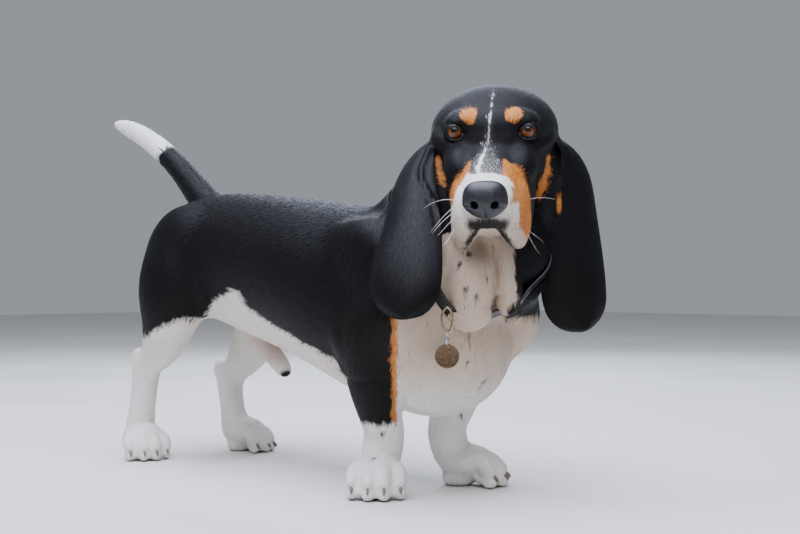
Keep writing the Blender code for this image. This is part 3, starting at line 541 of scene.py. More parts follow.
PAWS = {  # place on the floor, turn and size of each paw
    "foreleg_left": (0.250, 0.060, 34, 1.04),
    "foreleg_right": (0.226, -0.076, -46, 1.04),
    "hindleg_left": (-0.184, 0.064, 22, 0.90),
    "hindleg_right": (-0.229, -0.086, -20, 0.96),
}


def lower_leg_forms():
    """Forearms, hocks and pasterns down to the paws."""
    forms = []
    for sign, name in ((1, "foreleg_left"), (-1, "foreleg_right")):
        x, y, yaw, size = PAWS[name]
        frame = floor_frame(x, y, yaw)
        wrist = frame @ Vector((-0.030, -sign * 0.010, 0.066))
        pastern = frame @ Vector((-0.022, -sign * 0.003, 0.038))
        elbow = mirrored((0.227, 0.094, 0.158), sign)
        stations = [
            (elbow, 0.030, 0.036),
            (elbow.lerp(wrist, 0.45), 0.0285, 0.0310),
            (elbow.lerp(wrist, 0.8), 0.0255, 0.0270),
            (wrist, 0.0250, 0.0260),
            (pastern, 0.0260),
            (frame @ Vector((-0.010, 0, 0.018)), 0.022),
        ]
        forms.append(loft("forearm", stations))
        forms.append(ellipsoid("dewclaw", (-0.034, -sign * 0.018, 0.052), (0.009, 0.009, 0.012), frame))
        forms += paw_forms(frame, size)
    for sign, name in ((1, "hindleg_left"), (-1, "hindleg_right")):
        x, y, yaw, size = PAWS[name]
        frame = floor_frame(x, y, yaw)
        hock = HOCKS[name]
        pastern = frame @ Vector((-0.022, 0, 0.034))
        stations = [
            (hock + Vector((0.008, 0, 0.024)), 0.020, 0.026),
            (hock, 0.0200, 0.0265),
            (hock.lerp(pastern, 0.35), 0.0195, 0.0215),
            (hock.lerp(pastern, 0.75), 0.0200, 0.0210),
            (pastern, 0.0225, 0.0235),
            (frame @ Vector((-0.012, 0, 0.016)), 0.022),
        ]
        forms.append(loft("hock", stations))
        forms.append(ellipsoid("heel_bone", hock + Vector((-0.020, 0, 0.010)), (0.014, 0.014, 0.020)))
        forms += paw_forms(frame, size)
    return forms


def head_forms():
    """Skull, brows, cheeks, muzzle, hanging lips and the lower jaw, in the head's own frame."""
    forms = [
        ellipsoid("skull", (-0.062, 0.001, -0.026), (0.084, 0.077, 0.050), HEAD),
        ellipsoid("forehead", (-0.030, 0, -0.010), (0.040, 0.056, 0.032), HEAD),
        ellipsoid("occiput", (-0.124, 0, -0.018), (0.024, 0.026, 0.021), HEAD),
    ]
    muzzle = [
        ((-0.040, 0, -0.040), 0.052, 0.038),
        ((-0.004, 0, -0.037), 0.043, 0.032, 0.034),
        ((0.030, 0, -0.040), 0.0350, 0.029, 0.032),
        ((0.062, 0, -0.042), 0.0325, 0.028, 0.030),
        ((0.092, 0, -0.043), 0.0315, 0.028),
        ((0.114, 0, -0.041), 0.0285, 0.027, 0.026),
        ((0.126, 0, -0.040), 0.0215, 0.021),
    ]
    forms.append(loft("muzzle", muzzle, frame=HEAD, square=2.3))
    jaw = [
        ((-0.050, 0, -0.072), 0.040, 0.022),
        ((0.000, 0, -0.080), 0.030, 0.020, 0.017),
        ((0.045, 0, -0.082), 0.0230, 0.018, 0.015),
        ((0.082, 0, -0.080), 0.0190, 0.018, 0.014),
        ((0.101, 0, -0.076), 0.0130, 0.014, 0.011),
    ]
    forms.append(loft("jaw", jaw, frame=HEAD))
    masses = [  # on both sides: frame, place on the left, radii, turn
        ("cheek", HEAD, (-0.052, 0.046, -0.046), (0.050, 0.028, 0.042), (0, 12, -10)),
        ("cheekbone", HEAD, (-0.022, 0.052, -0.021), (0.034, 0.018, 0.016), (0, 0, -28)),
        ("ear_root", FACE, (-0.090, 0.057, -0.062), (0.036, 0.024, 0.060), (0, 0, 0)),
        ("ear_base", FACE, (-0.080, 0.070, -0.034), (0.028, 0.020, 0.040), (0, 0, 0)),
        ("brow", HEAD, (-0.020, 0.036, 0.008), (0.021, 0.021, 0.010), (-18, 0, 0)),
        ("under_eye", HEAD, (0.004, 0.034, -0.036), (0.046, 0.022, 0.026), (0, 0, 0)),
    ]
    for sign in (1, -1):
        forms += [ellipsoid(name, mirrored(place, sign), radii, frame, (sign * x, y, sign * z))
                  for name, frame, place, radii, (x, y, z) in masses]
        lip = [
            ((0.113, sign * 0.012, -0.054), 0.012, 0.014, 0.016),
            ((0.099, sign * 0.0235, -0.060), 0.0145, 0.026, 0.034),
            ((0.074, sign * 0.0295, -0.066), 0.0150, 0.034, 0.050),
            ((0.042, sign * 0.0330, -0.068), 0.0155, 0.034, 0.048),
            ((0.010, sign * 0.036, -0.064), 0.0150, 0.030, 0.036),
            ((-0.022, sign * 0.040, -0.058), 0.0130, 0.022),
        ]
        forms.append(loft("lip", lip, (0, 1, sign * 0.06), HEAD, ring=14, square=2.5))
    return forms


EARS = {  # place in the face's frame, half width, twist of the ear's breadth in degrees
    "ear_left": [
        ((-0.066, 0.054, 0.004), 0.022, 84),
        ((-0.074, 0.077, -0.002), 0.026, 80),
        ((-0.080, 0.094, -0.018), 0.031, 66),
        ((-0.083, 0.101, -0.044), 0.035, 52),
        ((-0.084, 0.103, -0.076), 0.037, 46),
        ((-0.085, 0.101, -0.106), 0.040, 38),
        ((-0.086, 0.100, -0.140), 0.044, 33),
        ((-0.084, 0.101, -0.175), 0.045, 30),
        ((-0.083, 0.103, -0.202), 0.042, 28),
        ((-0.083, 0.105, -0.220), 0.030, 28),
        ((-0.083, 0.106, -0.230), 0.010, 28),
    ],
    "ear_right": [
        ((-0.066, -0.054, 0.004), 0.022, 84),
        ((-0.070, -0.075, -0.002), 0.026, 76),
        ((-0.058, -0.094, -0.020), 0.030, 62),
        ((-0.026, -0.099, -0.050), 0.032, 46),
        ((0.008, -0.097, -0.083), 0.036, 32),
        ((0.033, -0.096, -0.113), 0.040, 24),
        ((0.055, -0.096, -0.142), 0.043, 20),
        ((0.069, -0.095, -0.168), 0.043, 20),
        ((0.077, -0.092, -0.189), 0.037, 20),
        ((0.080, -0.090, -0.202), 0.026, 20),
        ((0.081, -0.089, -0.210), 0.009, 20),
    ],
}


def ear_form(name, sign, inset):
    """A long ear hanging from the side of the head, its edges turned in towards the throat."""
    side_of_leather = 18
    rings = []
    places = [Vector(p) for p, _, _ in EARS[name]]
    for i, (_, half, twist) in enumerate(EARS[name]):
        along = (places[min(i + 1, len(places) - 1)] - places[max(i - 1, 0)]).normalized()
        angle = math.radians(twist)
        across = Vector((-math.sin(angle), sign * math.cos(angle), 0))
        across = (across - along * across.dot(along)).normalized()
        out = along.cross(across)
        if out.dot(Vector((math.cos(angle), sign * math.sin(angle), 0))) < 0:
            out = -out
        spread = min(1.0, i / 4)
        points = []
        for k in range(2 * side_of_leather):
            turn = math.pi * (k + 0.5) / side_of_leather
            w = math.cos(turn)
            thick = EAR_THICK * (0.42 + 0.58 * (1 - w * w)) * math.copysign(min(1, 3 * abs(math.sin(turn))),
                                                                            math.sin(turn))
            thick *= 1 - inset / EAR_THICK
            cup = -EAR_CUP * spread * (abs(w) ** 2.4) * (1.5 if w < 0 else 1.0)
            points.append(places[i] + across * (half - inset * 0.7) * w + out * (thick + cup))
        rings.append(points)
    return baked(subdivided(shell(name, rings, FACE), 2))


def looking(centre):
    """A frame at an eye: +X looks forward along the face and a little outward."""
    return Matrix.Translation(centre) @ Matrix.Rotation(HEAD_YAW, 4, "Z")


def eye_places():
    """The two eyeballs' middles, a little behind the front of the lids."""
    return {"eye_left": HEAD @ Vector((-0.009, EYE_HALF_SPACE, -0.0050)),
            "eye_right": HEAD @ Vector((-0.009, -EYE_HALF_SPACE, -0.0050))}


def column(items, name, width, kind=np.float32):
    """One property of a mesh's points, edges, triangles or corners, as an array."""
    flat = np.empty(len(items) * width, kind)
    items.foreach_get(name, flat)
    return flat.reshape(-1, width)


def coords(mesh):
    """A mesh's points as an array."""
    return column(mesh.vertices, "co", 3).astype(np.float64)


def set_coords(mesh, points):
    """Writes an array of points back to a mesh."""
    mesh.vertices.foreach_set("co", points.astype(np.float32).ravel())
    mesh.update()


def store_colour(mesh, colour):
    """Stores each point's colour in the attribute that the coat's materials read."""
    colour = np.concatenate([colour.clip(0, 1), np.ones((len(colour), 1))], 1)
    layer = mesh.color_attributes.new("coat", "FLOAT_COLOR", "POINT")
    layer.data.foreach_set("color", colour.astype(np.float32).ravel())


def surface_of(mesh):
    """A mesh's surface, to find the nearest place on it."""
    return BVHTree.FromPolygons([v.co for v in mesh.vertices], [p.vertices[:] for p in mesh.polygons])


def spread(values, ends, rounds, share=0.5):
    """Averages each point's values with its neighbours', so many times."""
    count = len(values)
    values = values.reshape(count, -1).copy()
    neighbours = np.bincount(ends.ravel(), minlength=count).clip(1)[:, None]
    for _ in range(rounds):
        total = np.stack([np.bincount(ends[:, 0], values[ends[:, 1], k], count)
                          + np.bincount(ends[:, 1], values[ends[:, 0], k], count)
                          for k in range(values.shape[1])], 1)
        values += (total / neighbours - values) * share
    return values


def in_frame(matrix, points):
    """Points as they are seen from a frame."""
    back = np.array(matrix.inverted())
    return points @ back[:3, :3].T + back[:3, 3]


def from_frame(matrix, vectors):
    """Directions of a frame, turned to the outside."""
    return vectors @ np.array(matrix)[:3, :3].T


def ramp(values, low, high):
    """0 below low, 1 above high and smooth between."""
    t = np.clip((values - low) / (high - low), 0, 1)
    return t * t * (3 - 2 * t)


def lengths(vectors):
    """The length of each of an array's vectors."""
    return np.linalg.norm(vectors, axis=1)


def unit(vectors):
    """Vectors brought to a length of one."""
    return vectors / lengths(vectors).clip(1e-9)[:, None]


def level_with(vectors, normals):
    """Directions brought into the surfaces that have those normals."""
    return unit(vectors - normals * (vectors * normals).sum(1)[:, None])


def near(points, centre, far, close, stretch=(1, 1, 1)):
    """1 within close of a place, 0 beyond far and smooth between; stretch weighs the directions."""
    return ramp(-lengths((points - np.array(centre)) * stretch), -far, -close)


def toward(values, aim, share):
    """Colours or places moved by each point's share of the way towards others."""
    return values + (aim - values) * share[:, None]


def line_distance(points, path):
    """Each point's distance from a broken line."""
    best = np.full(len(points), 9.0)
    for a, b in zip(path[:-1], path[1:]):
        a, b = np.array(a, float), np.array(b, float)
        t = np.clip(((points - a) @ (b - a)) / ((b - a) @ (b - a)), 0, 1)
        best = np.minimum(best, lengths(points - (a + t[:, None] * (b - a))))
    return best


# The skin

LIP_EDGE = [(0.0650, -0.031, -0.1090), (0.0900, -0.028, -0.0985), (0.1050, -0.024, -0.0850),
            (0.1130, -0.018, -0.0740), (0.1145, -0.010, -0.0665), (0.1205, 0.000, -0.0585),
            (0.1145, 0.010, -0.0665), (0.1130, 0.018, -0.0740), (0.1050, 0.024, -0.0850),
            (0.0900, 0.028, -0.0985), (0.0650, 0.031, -0.1090)]


SLOT_ROOM = 0.0012               # how much the slot for the strap is larger than the strap
# The lower ends of the two folds of the throat, which hang over the strap
OVERHANGS = [[((-0.002, -0.025, -0.192), 0.028, 0.024), ((0.002, -0.026, -0.206), 0.029, 0.023),
              ((0.004, -0.027, -0.214), 0.025, 0.018), ((0.003, -0.028, -0.221), 0.018, 0.013),
              ((0.001, -0.028, -0.2255), 0.009, 0.007)],
             [((-0.016, 0.020, -0.186), 0.016, 0.020), ((-0.011, 0.018, -0.197), 0.015, 0.014),
              ((-0.011, 0.017, -0.204), 0.011, 0.010), ((-0.011, 0.016, -0.209), 0.005, 0.005)]]
# The crease between the two folds, in the face's frame; the skin sinks along it and painted shade darkens the
# coat there
CREASE = [(0.0028, 0.0023, -0.1308), (0.0056, 0.0058, -0.1478), (0.0059, 0.0080, -0.1680),
          (0.0009, 0.0055, -0.1860), (0.0040, -0.0010, -0.2040)]
# Rolled front borders of the ears, and the turned-in fold of the left one, in the face's frame
EAR_ROLLS = [[(-0.0648, 0.0847, -0.0109), (-0.0680, 0.0917, -0.0341), (-0.0689, 0.0893, -0.0528),
              (-0.0688, 0.0800, -0.0775), (-0.0717, 0.0683, -0.1032)],
             [(-0.0433, -0.0746, -0.0134), (-0.0259, -0.0822, -0.0360), (-0.0121, -0.0808, -0.0510),
              (0.0019, -0.0713, -0.0682), (0.0094, -0.0604, -0.0834), (0.0244, -0.0546, -0.1067)]]


def skin_form(sizes):
    """The whole skin as one closed surface, inside the coat's outline by its depth."""
    depth = sizes.coat_depth
    grain = sizes.skin_voxel
    rounds = (0.0026 / grain) ** 2
    slope = ellipsoid("slope", (0.203, -0.058, 0.304), (0.062, 0.046, 0.023))
    core = fused("core", trunk_forms() + neck_forms() + upper_leg_forms() + [slope], CORE_VOXEL, 60, finer=1)
    head = fused("head_core", head_forms(), grain, round(12 * rounds))
    folds = fused("folds", dewlap_forms(), grain, round(10 * rounds))
    webs = [ellipsoid("web", Vector((0.022, 0, 0.0105)) * size, Vector((0.020, 0.031, 0.0105)) * size,
                      floor_frame(x, y, yaw)) for x, y, yaw, size in PAWS.values()]
    skin = fused("skin", [core, head, folds] + sheath_form() + tail_forms() + lower_leg_forms() + webs, grain,
                 round(7 * rounds))
    sink = skin.modifiers.new("Depth of coat", "DISPLACE")
    sink.mid_level = 0.0
    sink.strength = -depth
    baked(skin)
    seat = neck_path(skin, COLLAR_THICK / 2 + GAP + depth)
    skin["strap_seat"] = [c for point in seat for c in point]
    overhangs = fused("overhangs", hanging_folds("overhang", OVERHANGS), grain, round(6 * rounds))
    combined(skin, overhangs, "UNION")
    half, thick = COLLAR_WIDTH / 2 + SLOT_ROOM, COLLAR_THICK / 2 + SLOT_ROOM
    slot = [[p + wide * (a * half) + out * (b * thick) for a, b in ((-1, -1), (1, -1), (1, 1), (-1, 1))]
            for p, out, wide, _ in strap_frames(seat)]
    combined(skin, shell("slot", slot, ends="looped"), "DIFFERENCE")
    for name, sign in (("ear_left", 1), ("ear_right", -1)):
        combined(skin, ear_form(name, sign, depth * 0.8), "UNION")
    soles = coords(skin.data)
    soles[:, 2] = soles[:, 2].clip(0.0)
    set_coords(skin.data, soles)
    groove = baked(loft("groove", [(p, 0.0015) for p in LIP_EDGE], (0, 0, 1), HEAD, ring=8))
    combined(skin, groove, "DIFFERENCE")
    eyes = list(eye_places().values())
    combined(skin, together(ellipsoid("lid", centre, [EYE_RADIUS + LID_THICK - 0.0004] * 3, segments=56)
                            for centre in eyes), "UNION")
    combined(skin, together(ellipsoid("slit", (EYE_RADIUS + 0.002, 0, -0.0014), (0.013, 0.0118, 0.0098),
                                      looking(centre), segments=48) for centre in eyes), "DIFFERENCE")
    seats = [ellipsoid("socket", centre, [EYE_RADIUS + 0.0001] * 3, segments=56) for centre in eyes]
    seats.append(ellipsoid("nose_seat", NOSE_CENTRE, [r - 0.0004 for r in NOSE_RADII], HEAD, segments=48))
    combined(skin, together(seats), "DIFFERENCE")
    largest(skin)
    worn_soft(skin)
    thinned(skin, sizes.skin_triangles)
    return skin


def worn_soft(skin):
    """Softens the joins of the lids and the ears, the end of the throat's fold, the right shoulder and the
    hocks; sinks the crease between the throat's folds and raises the rolled borders of the ears.
    """
    mesh = skin.data
    points = coords(mesh)
    ends = column(mesh.edges, "vertices", 2, np.int32)
    weight = np.zeros(len(points))
    for centre in eye_places().values():
        away = lengths(points - np.array(centre))
        ahead = in_frame(looking(centre), points)
        open_side = ((ahead[:, 0] > 0) & (np.abs(ahead[:, 1]) < 0.0125)
                     & (np.abs(ahead[:, 2] + 0.0014) < 0.0106))
        weight = np.maximum(weight, ramp(away, 0.012, 0.0135) * ramp(-away, -0.022, -0.017)
                            * np.where(open_side, 0.12, 1.0))
    for name in EARS:
        weight = np.maximum(weight, 0.8 * near(points, FACE @ Vector(EARS[name][0][0]), 0.040, 0.024))
    fold_end = near(points, FACE @ Vector((0.0, -0.018, -0.190)), 0.060, 0.030)
    weight = np.maximum(weight, 0.7 * fold_end * (points[:, 2] > 0.215))
    points = toward(points, spread(points, ends, 6), weight)
    points = toward(points, spread(points, ends, 70, 0.6), near(points, (0.222, -0.095, 0.312), 0.060, 0.025))
    joint = np.minimum.reduce([lengths(points - np.array(hock) - (0.015, 0, 0.005))
                               for hock in HOCKS.values()])
    points = toward(points, spread(points, ends, 80, 0.6), ramp(-joint, -0.090, -0.062))
    normals = column(mesh.vertices, "normal", 3)
    side = in_frame(FACE, points)
    rise = -0.0050 * np.exp(-(line_distance(side, CREASE) / 0.0024) ** 2)
    for path in EAR_ROLLS:
        far = line_distance(side, path)
        beside = 0.0012 * np.exp(-((far - 0.0065) / 0.0030) ** 2)
        rise = np.maximum(rise, 0.0019 * np.exp(-(far / 0.0024) ** 2) - beside)
        rise = np.where((rise <= 0) & (far < 0.015), np.minimum(rise, -beside), rise)
    outward = in_frame(FACE, points + normals)[:, 0] - side[:, 0] > 0.1
    set_coords(mesh, points + normals * (rise * outward)[:, None])


def thinned(obj, triangles):
    """Reduces a mesh to about so many triangles, keeping the face's."""
    mesh = obj.data
    mesh.calc_loop_triangles()
    if len(mesh.loop_triangles) > triangles:
        place = in_frame(HEAD, coords(mesh))
        face = ((place > (-0.05, -0.07, -0.12)) & (place < (1.0, 0.07, 0.05))).all(1)
        group = obj.vertex_groups.new(name="thin")
        group.add([int(k) for k in np.flatnonzero(~face)], 1.0, "REPLACE")
        group.add([int(k) for k in np.flatnonzero(face)], 0.15, "REPLACE")
        collapse = obj.modifiers.new("Thin", "DECIMATE")
        collapse.ratio = triangles / len(mesh.loop_triangles)
        collapse.use_collapse_triangulate = True
        collapse.vertex_group = group.name
        baked(obj)
        obj.vertex_groups.clear()
    else:
        obj.modifiers.new("Triangles", "TRIANGULATE")
        baked(obj)
    return obj


# The markings, worked out from a point's place on the hound

# Borders between black and white: each is the places along one way and the border's place there
BELLY_LINE = ([-0.30, -0.1743, -0.1142, -0.0762, -0.0250, -0.0047, 0.0060, 0.0193, 0.0955, 0.1726,
               0.2226, 0.30],
              [0.170, 0.1746, 0.1996, 0.2200, 0.2330, 0.2376, 0.2300, 0.2138, 0.1860, 0.1564,
               0.1471, 0.130])
LEFT_BELLY_LINE = ([0.10, 0.15, 0.185, 0.215], [0.185, 0.171, 0.186, 0.205])
CHEST_LINE = ([0.0, 0.215, 0.240, 0.262, 0.280, 0.50], [0.132, 0.132, 0.150, 0.172, 0.177, 0.180])
PATCH_LOW = ([0.20, 0.2548, 0.2611, 0.2799, 0.2970, 0.330], [0.235, 0.2137, 0.1985, 0.1881, 0.2050, 0.214])
PATCH_SIDE = ([0.15, 0.1985, 0.2137, 0.2180, 0.2275, 0.25, 0.35],
              [0.262, 0.2611, 0.2548, 0.2570, 0.2698, 0.264, 0.264])


def ripple(points, size, seed=0.0):
    """A smooth wandering value between -1 and 1, with waves of about a size in metres."""
    k = 2 * math.pi / size
    x, y, z = (points * k).T
    return (np.sin(x + 1.7 * np.sin(0.8 * y + seed) + seed) + np.sin(y * 1.13 + 1.3 * np.sin(z * 0.9 + seed))
            + np.sin(z * 0.87 + 1.9 * np.sin(x * 0.7 + 2.1 * seed))) / 3


def seen(points):
    """How far to the right and how far ahead each point lies as the camera looks, on the level."""
    x, y, _ = points.T
    return 0.715 * x + 0.70 * y, -0.70 * x + 0.715 * y


def white_body(points):
    """How far inside the white of the body, chest, legs and tail a point lies, in metres."""
    x, y, z = points.T
    right, ahead = seen(points)
    tail = -0.848 * (x + 0.2888) + 0.53 * (z - 0.4396)
    belly = np.interp(x, *BELLY_LINE) - z
    fore_right = (x > 0.178) & (y < -0.050)
    belly = np.where(fore_right, 0.084 - z, belly)
    belly = np.where((x > 0.10) & (y > 0.05), np.interp(x, *LEFT_BELLY_LINE) - z, belly)
    inner_thigh = (x < -0.10) & (x > -0.235) & (np.abs(y) < 0.062) & (z < 0.215)
    belly = np.where(inner_thigh, np.maximum(belly, 0.205 - z), belly)
    side = right - np.interp(z, *CHEST_LINE)
    patch = np.minimum(z - np.interp(right, *PATCH_LOW), right - np.interp(z, *PATCH_SIDE))
    patch = np.maximum(patch, np.minimum(y - 0.085, z - 0.205))
    throat = np.where(z > 0.225, -0.200 - ahead, 0.05)
    front = np.minimum(np.minimum(side, -patch), throat)
    front = np.where(x > 0.19, front, -0.05)
    return np.maximum(np.maximum(tail, belly), front)


BLAZE_X = [-0.075, -0.039, -0.0125, -0.0008, 0.0093, 0.0181, 0.0328, 0.0463, 0.0631]
BLAZE_Y = [0.0004, 0.0001, -0.0001, -0.0015, -0.0024, -0.0040, -0.0067, -0.0106, -0.0120]


def white_face(place):
    """How far inside the white of the blaze and the muzzle a point of the head lies."""
    x, y, z = place.T
    half = np.interp(x, [-0.080, -0.060, -0.039, -0.0125, 0.0, 0.0181, 0.0328, 0.0463, 0.0631],
                     [-0.004, -0.001, -0.0004, 0.0001, 0.0005, 0.0010, 0.0013, 0.0015, 0.0026])
    blaze = np.minimum(half - np.abs(y - np.interp(x, BLAZE_X, BLAZE_Y)), z + 0.035)
    right_edge = np.interp(-y, [0.0, 0.018, 0.0235, 0.030, 0.0365, 0.0409],
                           [0.0765, 0.0715, 0.0605, 0.0632, 0.0707, 0.0784])
    right_edge = np.where(z < -0.055, 0.070, right_edge)
    left_side = np.interp(-z, [0.019, 0.0205, 0.0235, 0.036, 0.045, 0.069, 0.080, 0.095],
                          [0.0185, 0.0235, 0.0262, 0.0258, 0.0325, 0.0335, 0.0385, 0.0400])
    left = np.minimum(left_side - y, x - 0.0765)
    muzzle = np.where(y < 0, x - right_edge, left)
    return np.maximum(blaze, muzzle)


def roan(place, on_head):
    """The share of white hairs among the black round the blaze, between the eyes and the nose."""
    x, y, z = place.T
    middle = np.interp(x, [-0.03, 0.0155, 0.027, 0.040, 0.055, 0.07],
                       [0.0, -0.0034, -0.0040, -0.0050, -0.0035, -0.0025])
    half = np.interp(x, [-0.04, 0.0, 0.0155, 0.027, 0.040, 0.050, 0.0735],
                     [0.0006, 0.0022, 0.0044, 0.0078, 0.0125, 0.0165, 0.0195])
    inside = ramp(half - np.abs(y - middle), -0.0055, 0.0055) * (z > -0.035) * (x < 0.076)
    return inside * np.interp(x, [-0.04, 0.0, 0.02, 0.045, 0.0735], [0.08, 0.10, 0.17, 0.24, 0.34]) * on_head


def tan_face(place, ahead):
    """How far inside the tan of the brows and cheeks a point of the head lies."""
    x, y, z = place.T
    brows = [np.where(ahead[:, 0] > -0.05, 0.0098 - np.hypot(ahead[:, 1] - middle, ahead[:, 2] - 0.0187),
                      -0.05) for middle in (-0.0252, 0.0262)]
    left = np.minimum(x - (0.041 + 0.33 * np.clip(-z - 0.016, 0, 0.05)), z + 0.100)
    left = np.minimum(left, y - 0.0150)
    right_edge = np.interp(-z, [0.016, 0.0193, 0.0258, 0.0349, 0.0477, 0.0589],
                           [0.037, 0.0401, 0.0469, 0.0484, 0.0440, 0.0423])
    right = np.minimum(np.minimum(x - right_edge, -0.016 - z), z + 0.060)
    right = np.minimum(right, -0.0215 - y)
    stroke_left = 0.0047 - line_distance(place, [(-0.0236, 0.0652, -0.0450), (-0.0218, 0.0626, -0.0616),
                                                 (-0.0193, 0.0579, -0.0745), (-0.0130, 0.0510, -0.0880)])
    stroke_right = 0.0034 - line_distance(place, [(-0.0169, -0.0644, -0.0399), (-0.0017, -0.0602, -0.0508),
                                                  (0.0089, -0.0552, -0.0598), (0.0420, -0.0475, -0.0600)])
    return np.maximum.reduce([*brows, left, right, stroke_left, stroke_right])


def whisker_dots(place):
    """Which points of the head lie in the rows of dark dots that the whiskers of the lips grow from."""
    _, y, z = place.T
    dots = np.zeros(len(place), bool)
    for row in range(3):
        for step in range(5):
            high = -0.0480 - 0.0062 * row - 0.0020 * step
            dots |= np.hypot(np.abs(y) - (0.0190 + 0.0038 * step + 0.0012 * row), z - high) < 0.0011
    return dots & (place[:, 0] > 0.085)


def is_head(points):
    """Which points belong to the head: ahead of the plane behind the jaws, and near the face."""
    side = in_frame(FACE, points)
    ahead = (side[:, 0] + 0.062) * 0.632 + (side[:, 2] + 0.078) * 0.775 > 0
    return ahead & (np.abs(side[:, 1]) < 0.088) & (lengths(side - (-0.02, 0, -0.05)) < 0.170)


# Single dark spots in the white of the chest, throat and legs: place and radius
SPOTS = [((0.2311, -0.0798, 0.0828), 0.0032), ((0.2303, -0.0708, 0.0713), 0.0030),
         ((0.3216, -0.0202, 0.1844), 0.0031), ((0.3201, -0.0236, 0.1540), 0.0025),
         ((0.3298, -0.0498, 0.2668), 0.0026), ((0.3387, -0.0481, 0.2379), 0.0025),
         ((0.3455, -0.0391, 0.2301), 0.0022), ((0.3511, -0.0268, 0.2535), 0.0019),
         ((0.2341, -0.0898, 0.0471), 0.0019), ((0.3160, 0.0089, 0.1303), 0.0027),
         ((0.2552, 0.0392, 0.0866), 0.0021), ((0.3377, -0.0401, 0.2791), 0.0032)]


def spotted(points):
    """How far inside one of the dark spots a point lies, in metres."""
    return np.maximum.reduce([radius - lengths((points - place) * (1, 1, 0.7)) for place, radius in SPOTS])


def markings(points, on_ear, colours, jitter, edge):
    """The coat's colour at each point, with some painted shade under the body, by the jaw and along the
    throat's crease; jitter moves the borders and edge is how soft they are.
    """
    place = in_frame(HEAD, points)
    black, brown, white, cream_in_shade, tan, pink = map(np.array, (
        colours.black, colours.brown_black, colours.white, colours.cream_in_shade, colours.tan, colours.pink))
    x, y, z = points.T
    wander = ripple(points, 0.016) * 0.0016 + jitter
    on_head = is_head(points)
    under_jaw = on_head & (place[:, 2] < -0.088) & (place[:, 0] < 0.066)
    chin = on_head & (np.abs(place[:, 1]) < 0.029) & (place[:, 2] < -0.060) & (place[:, 0] > 0.0)
    colour = toward(black, brown, ramp(0.30 - z, 0.0, 0.12))
    snow = np.where(on_head & ~under_jaw, white_face(place), white_body(points))
    ahead = in_frame(FACE, points)
    # Under the jaw on the right side the coat is made black: partly the black hair there, partly painted
    # shade under the jaw.
    jaw_side_black_and_shade = ((~on_head | under_jaw) & (ahead[:, 2] > -0.118) & (ahead[:, 1] < -0.030)
                & (ahead[:, 0] > -0.12))
    snow = np.where(jaw_side_black_and_shade & ~chin, -0.01, snow)
    snow = np.minimum(np.where(chin, np.maximum(snow, 0.01), snow), -spotted(points)) + wander
    snow = np.where(on_ear, -0.05, snow)
    warm = np.where(on_head & ~on_ear & ~chin, tan_face(place, ahead) + wander, -0.05)
    right = seen(points)[0]
    fringe = np.minimum(0.0045 - np.abs(right - 0.1305), np.minimum(z - 0.086, 0.212 - z))
    fringe = np.where((x > 0.2) & (y < -0.03) & ~on_ear & ~on_head, fringe + wander, -0.05)
    inner_ear = 0.0027 - line_distance(place, [(-0.0242, 0.0765, -0.0926), (-0.0181, 0.0765, -0.1080)])
    warm = np.maximum(np.maximum(warm, fringe), np.where(on_ear, inner_ear, -0.05))
    along = place * (0.35, 1, 1)
    streaks = 1 + 0.22 * ripple(along, 0.0050, 1.0) + 0.14 * ripple(along, 0.0022, 4.0)
    colour = toward(colour, tan * streaks[:, None], ramp(warm, -edge, edge))
    # Painted shade: from 0.08 m to 0.33 m up, and most towards the front, the white is mixed toward the
    # shaded cream, for the shade under the chest and belly.
    dull = ramp(z, 0.08, 0.17) * ramp(0.33 - z, -0.02, 0.04) * (0.35 + 0.60 * ramp(x, 0.12, 0.22))
    colour = toward(colour, toward(white, cream_in_shade, dull), ramp(snow, -edge, edge))
    bare_chin = near(place, (0.088, 0, -0.098), 0.030, 0.012, (1, 0.8, 1))
    colour = toward(colour, (0.55 * cream_in_shade + 0.35 * pink) * 0.42, 0.85 * bare_chin)
    groin = near(points, (-0.075, -0.004, 0.165), 0.060, 0.030, (0.7, 1, 1))
    colour = toward(colour, pink, 0.45 * groin * (snow > 0))
    colour = toward(colour, brown * 2, near(points, (-0.015, -0.006, 0.120), 0.013, 0.007))
    under_nose = ramp(-lengths((place - np.array((0.120, 0.0, -0.0585))) * (1, 0.55, 1))
                      + 0.0015 * ripple(points, 0.005, 3.0), -0.0160, -0.0105)
    lips = ramp(-line_distance(place, LIP_EDGE) + 0.0016 * ripple(points, 0.006, 2.0), -0.0054, -0.0028)
    colour = toward(colour, brown * 1.4, np.maximum(0.975 * lips, 0.985 * under_nose))
    # Painted shade: the coat is darkened and warmed along the crease between the throat's two folds.
    shade = ramp(-line_distance(ahead, CREASE), -0.0048, -0.0005) * ~on_ear
    return colour * (1 - np.array((0.40, 0.48, 0.55)) * shade[:, None])


def ticking(points, on_ear):
    """How thickly dark hairs are scattered through the white at each point, from 0 to 1."""
    place = in_frame(HEAD, points)
    clump = np.clip(ripple(points, 0.021, 1.3) + 0.3 * ripple(points, 0.009, 4.0), 0, 1)
    lips = ramp(-line_distance(place, LIP_EDGE), -0.012, -0.002)
    philtrum = near(place, (0.122, 0.0, -0.054), 0.020, 0.008, (1, 0.6, 1))
    body = np.where(regions(points, on_ear) == 5, 0.0, 0.05)
    return np.clip(body * clump ** 2 + 0.55 * lips + 0.55 * philtrum, 0, 0.88)


# The coat

EAR_REACH = 0.0022               # how near an ear's inner surface a point of the ear lies


def ear_trees():
    """The surfaces of the two ears, to tell what lies on them."""
    trees = []
    for name, sign in (("ear_left", 1), ("ear_right", -1)):
        ear = ear_form(name, sign, 0.001)
        trees.append(surface_of(ear.data))
        bpy.data.objects.remove(ear)
    return trees


def on_surfaces(points, trees, reach):
    """Which points lie within reach of any of some surfaces."""
    found = np.zeros(len(points), bool)
    for tree in trees:
        for i in np.flatnonzero(~found):
            found[i] = tree.find_nearest(points[i], reach)[0] is not None
    return found


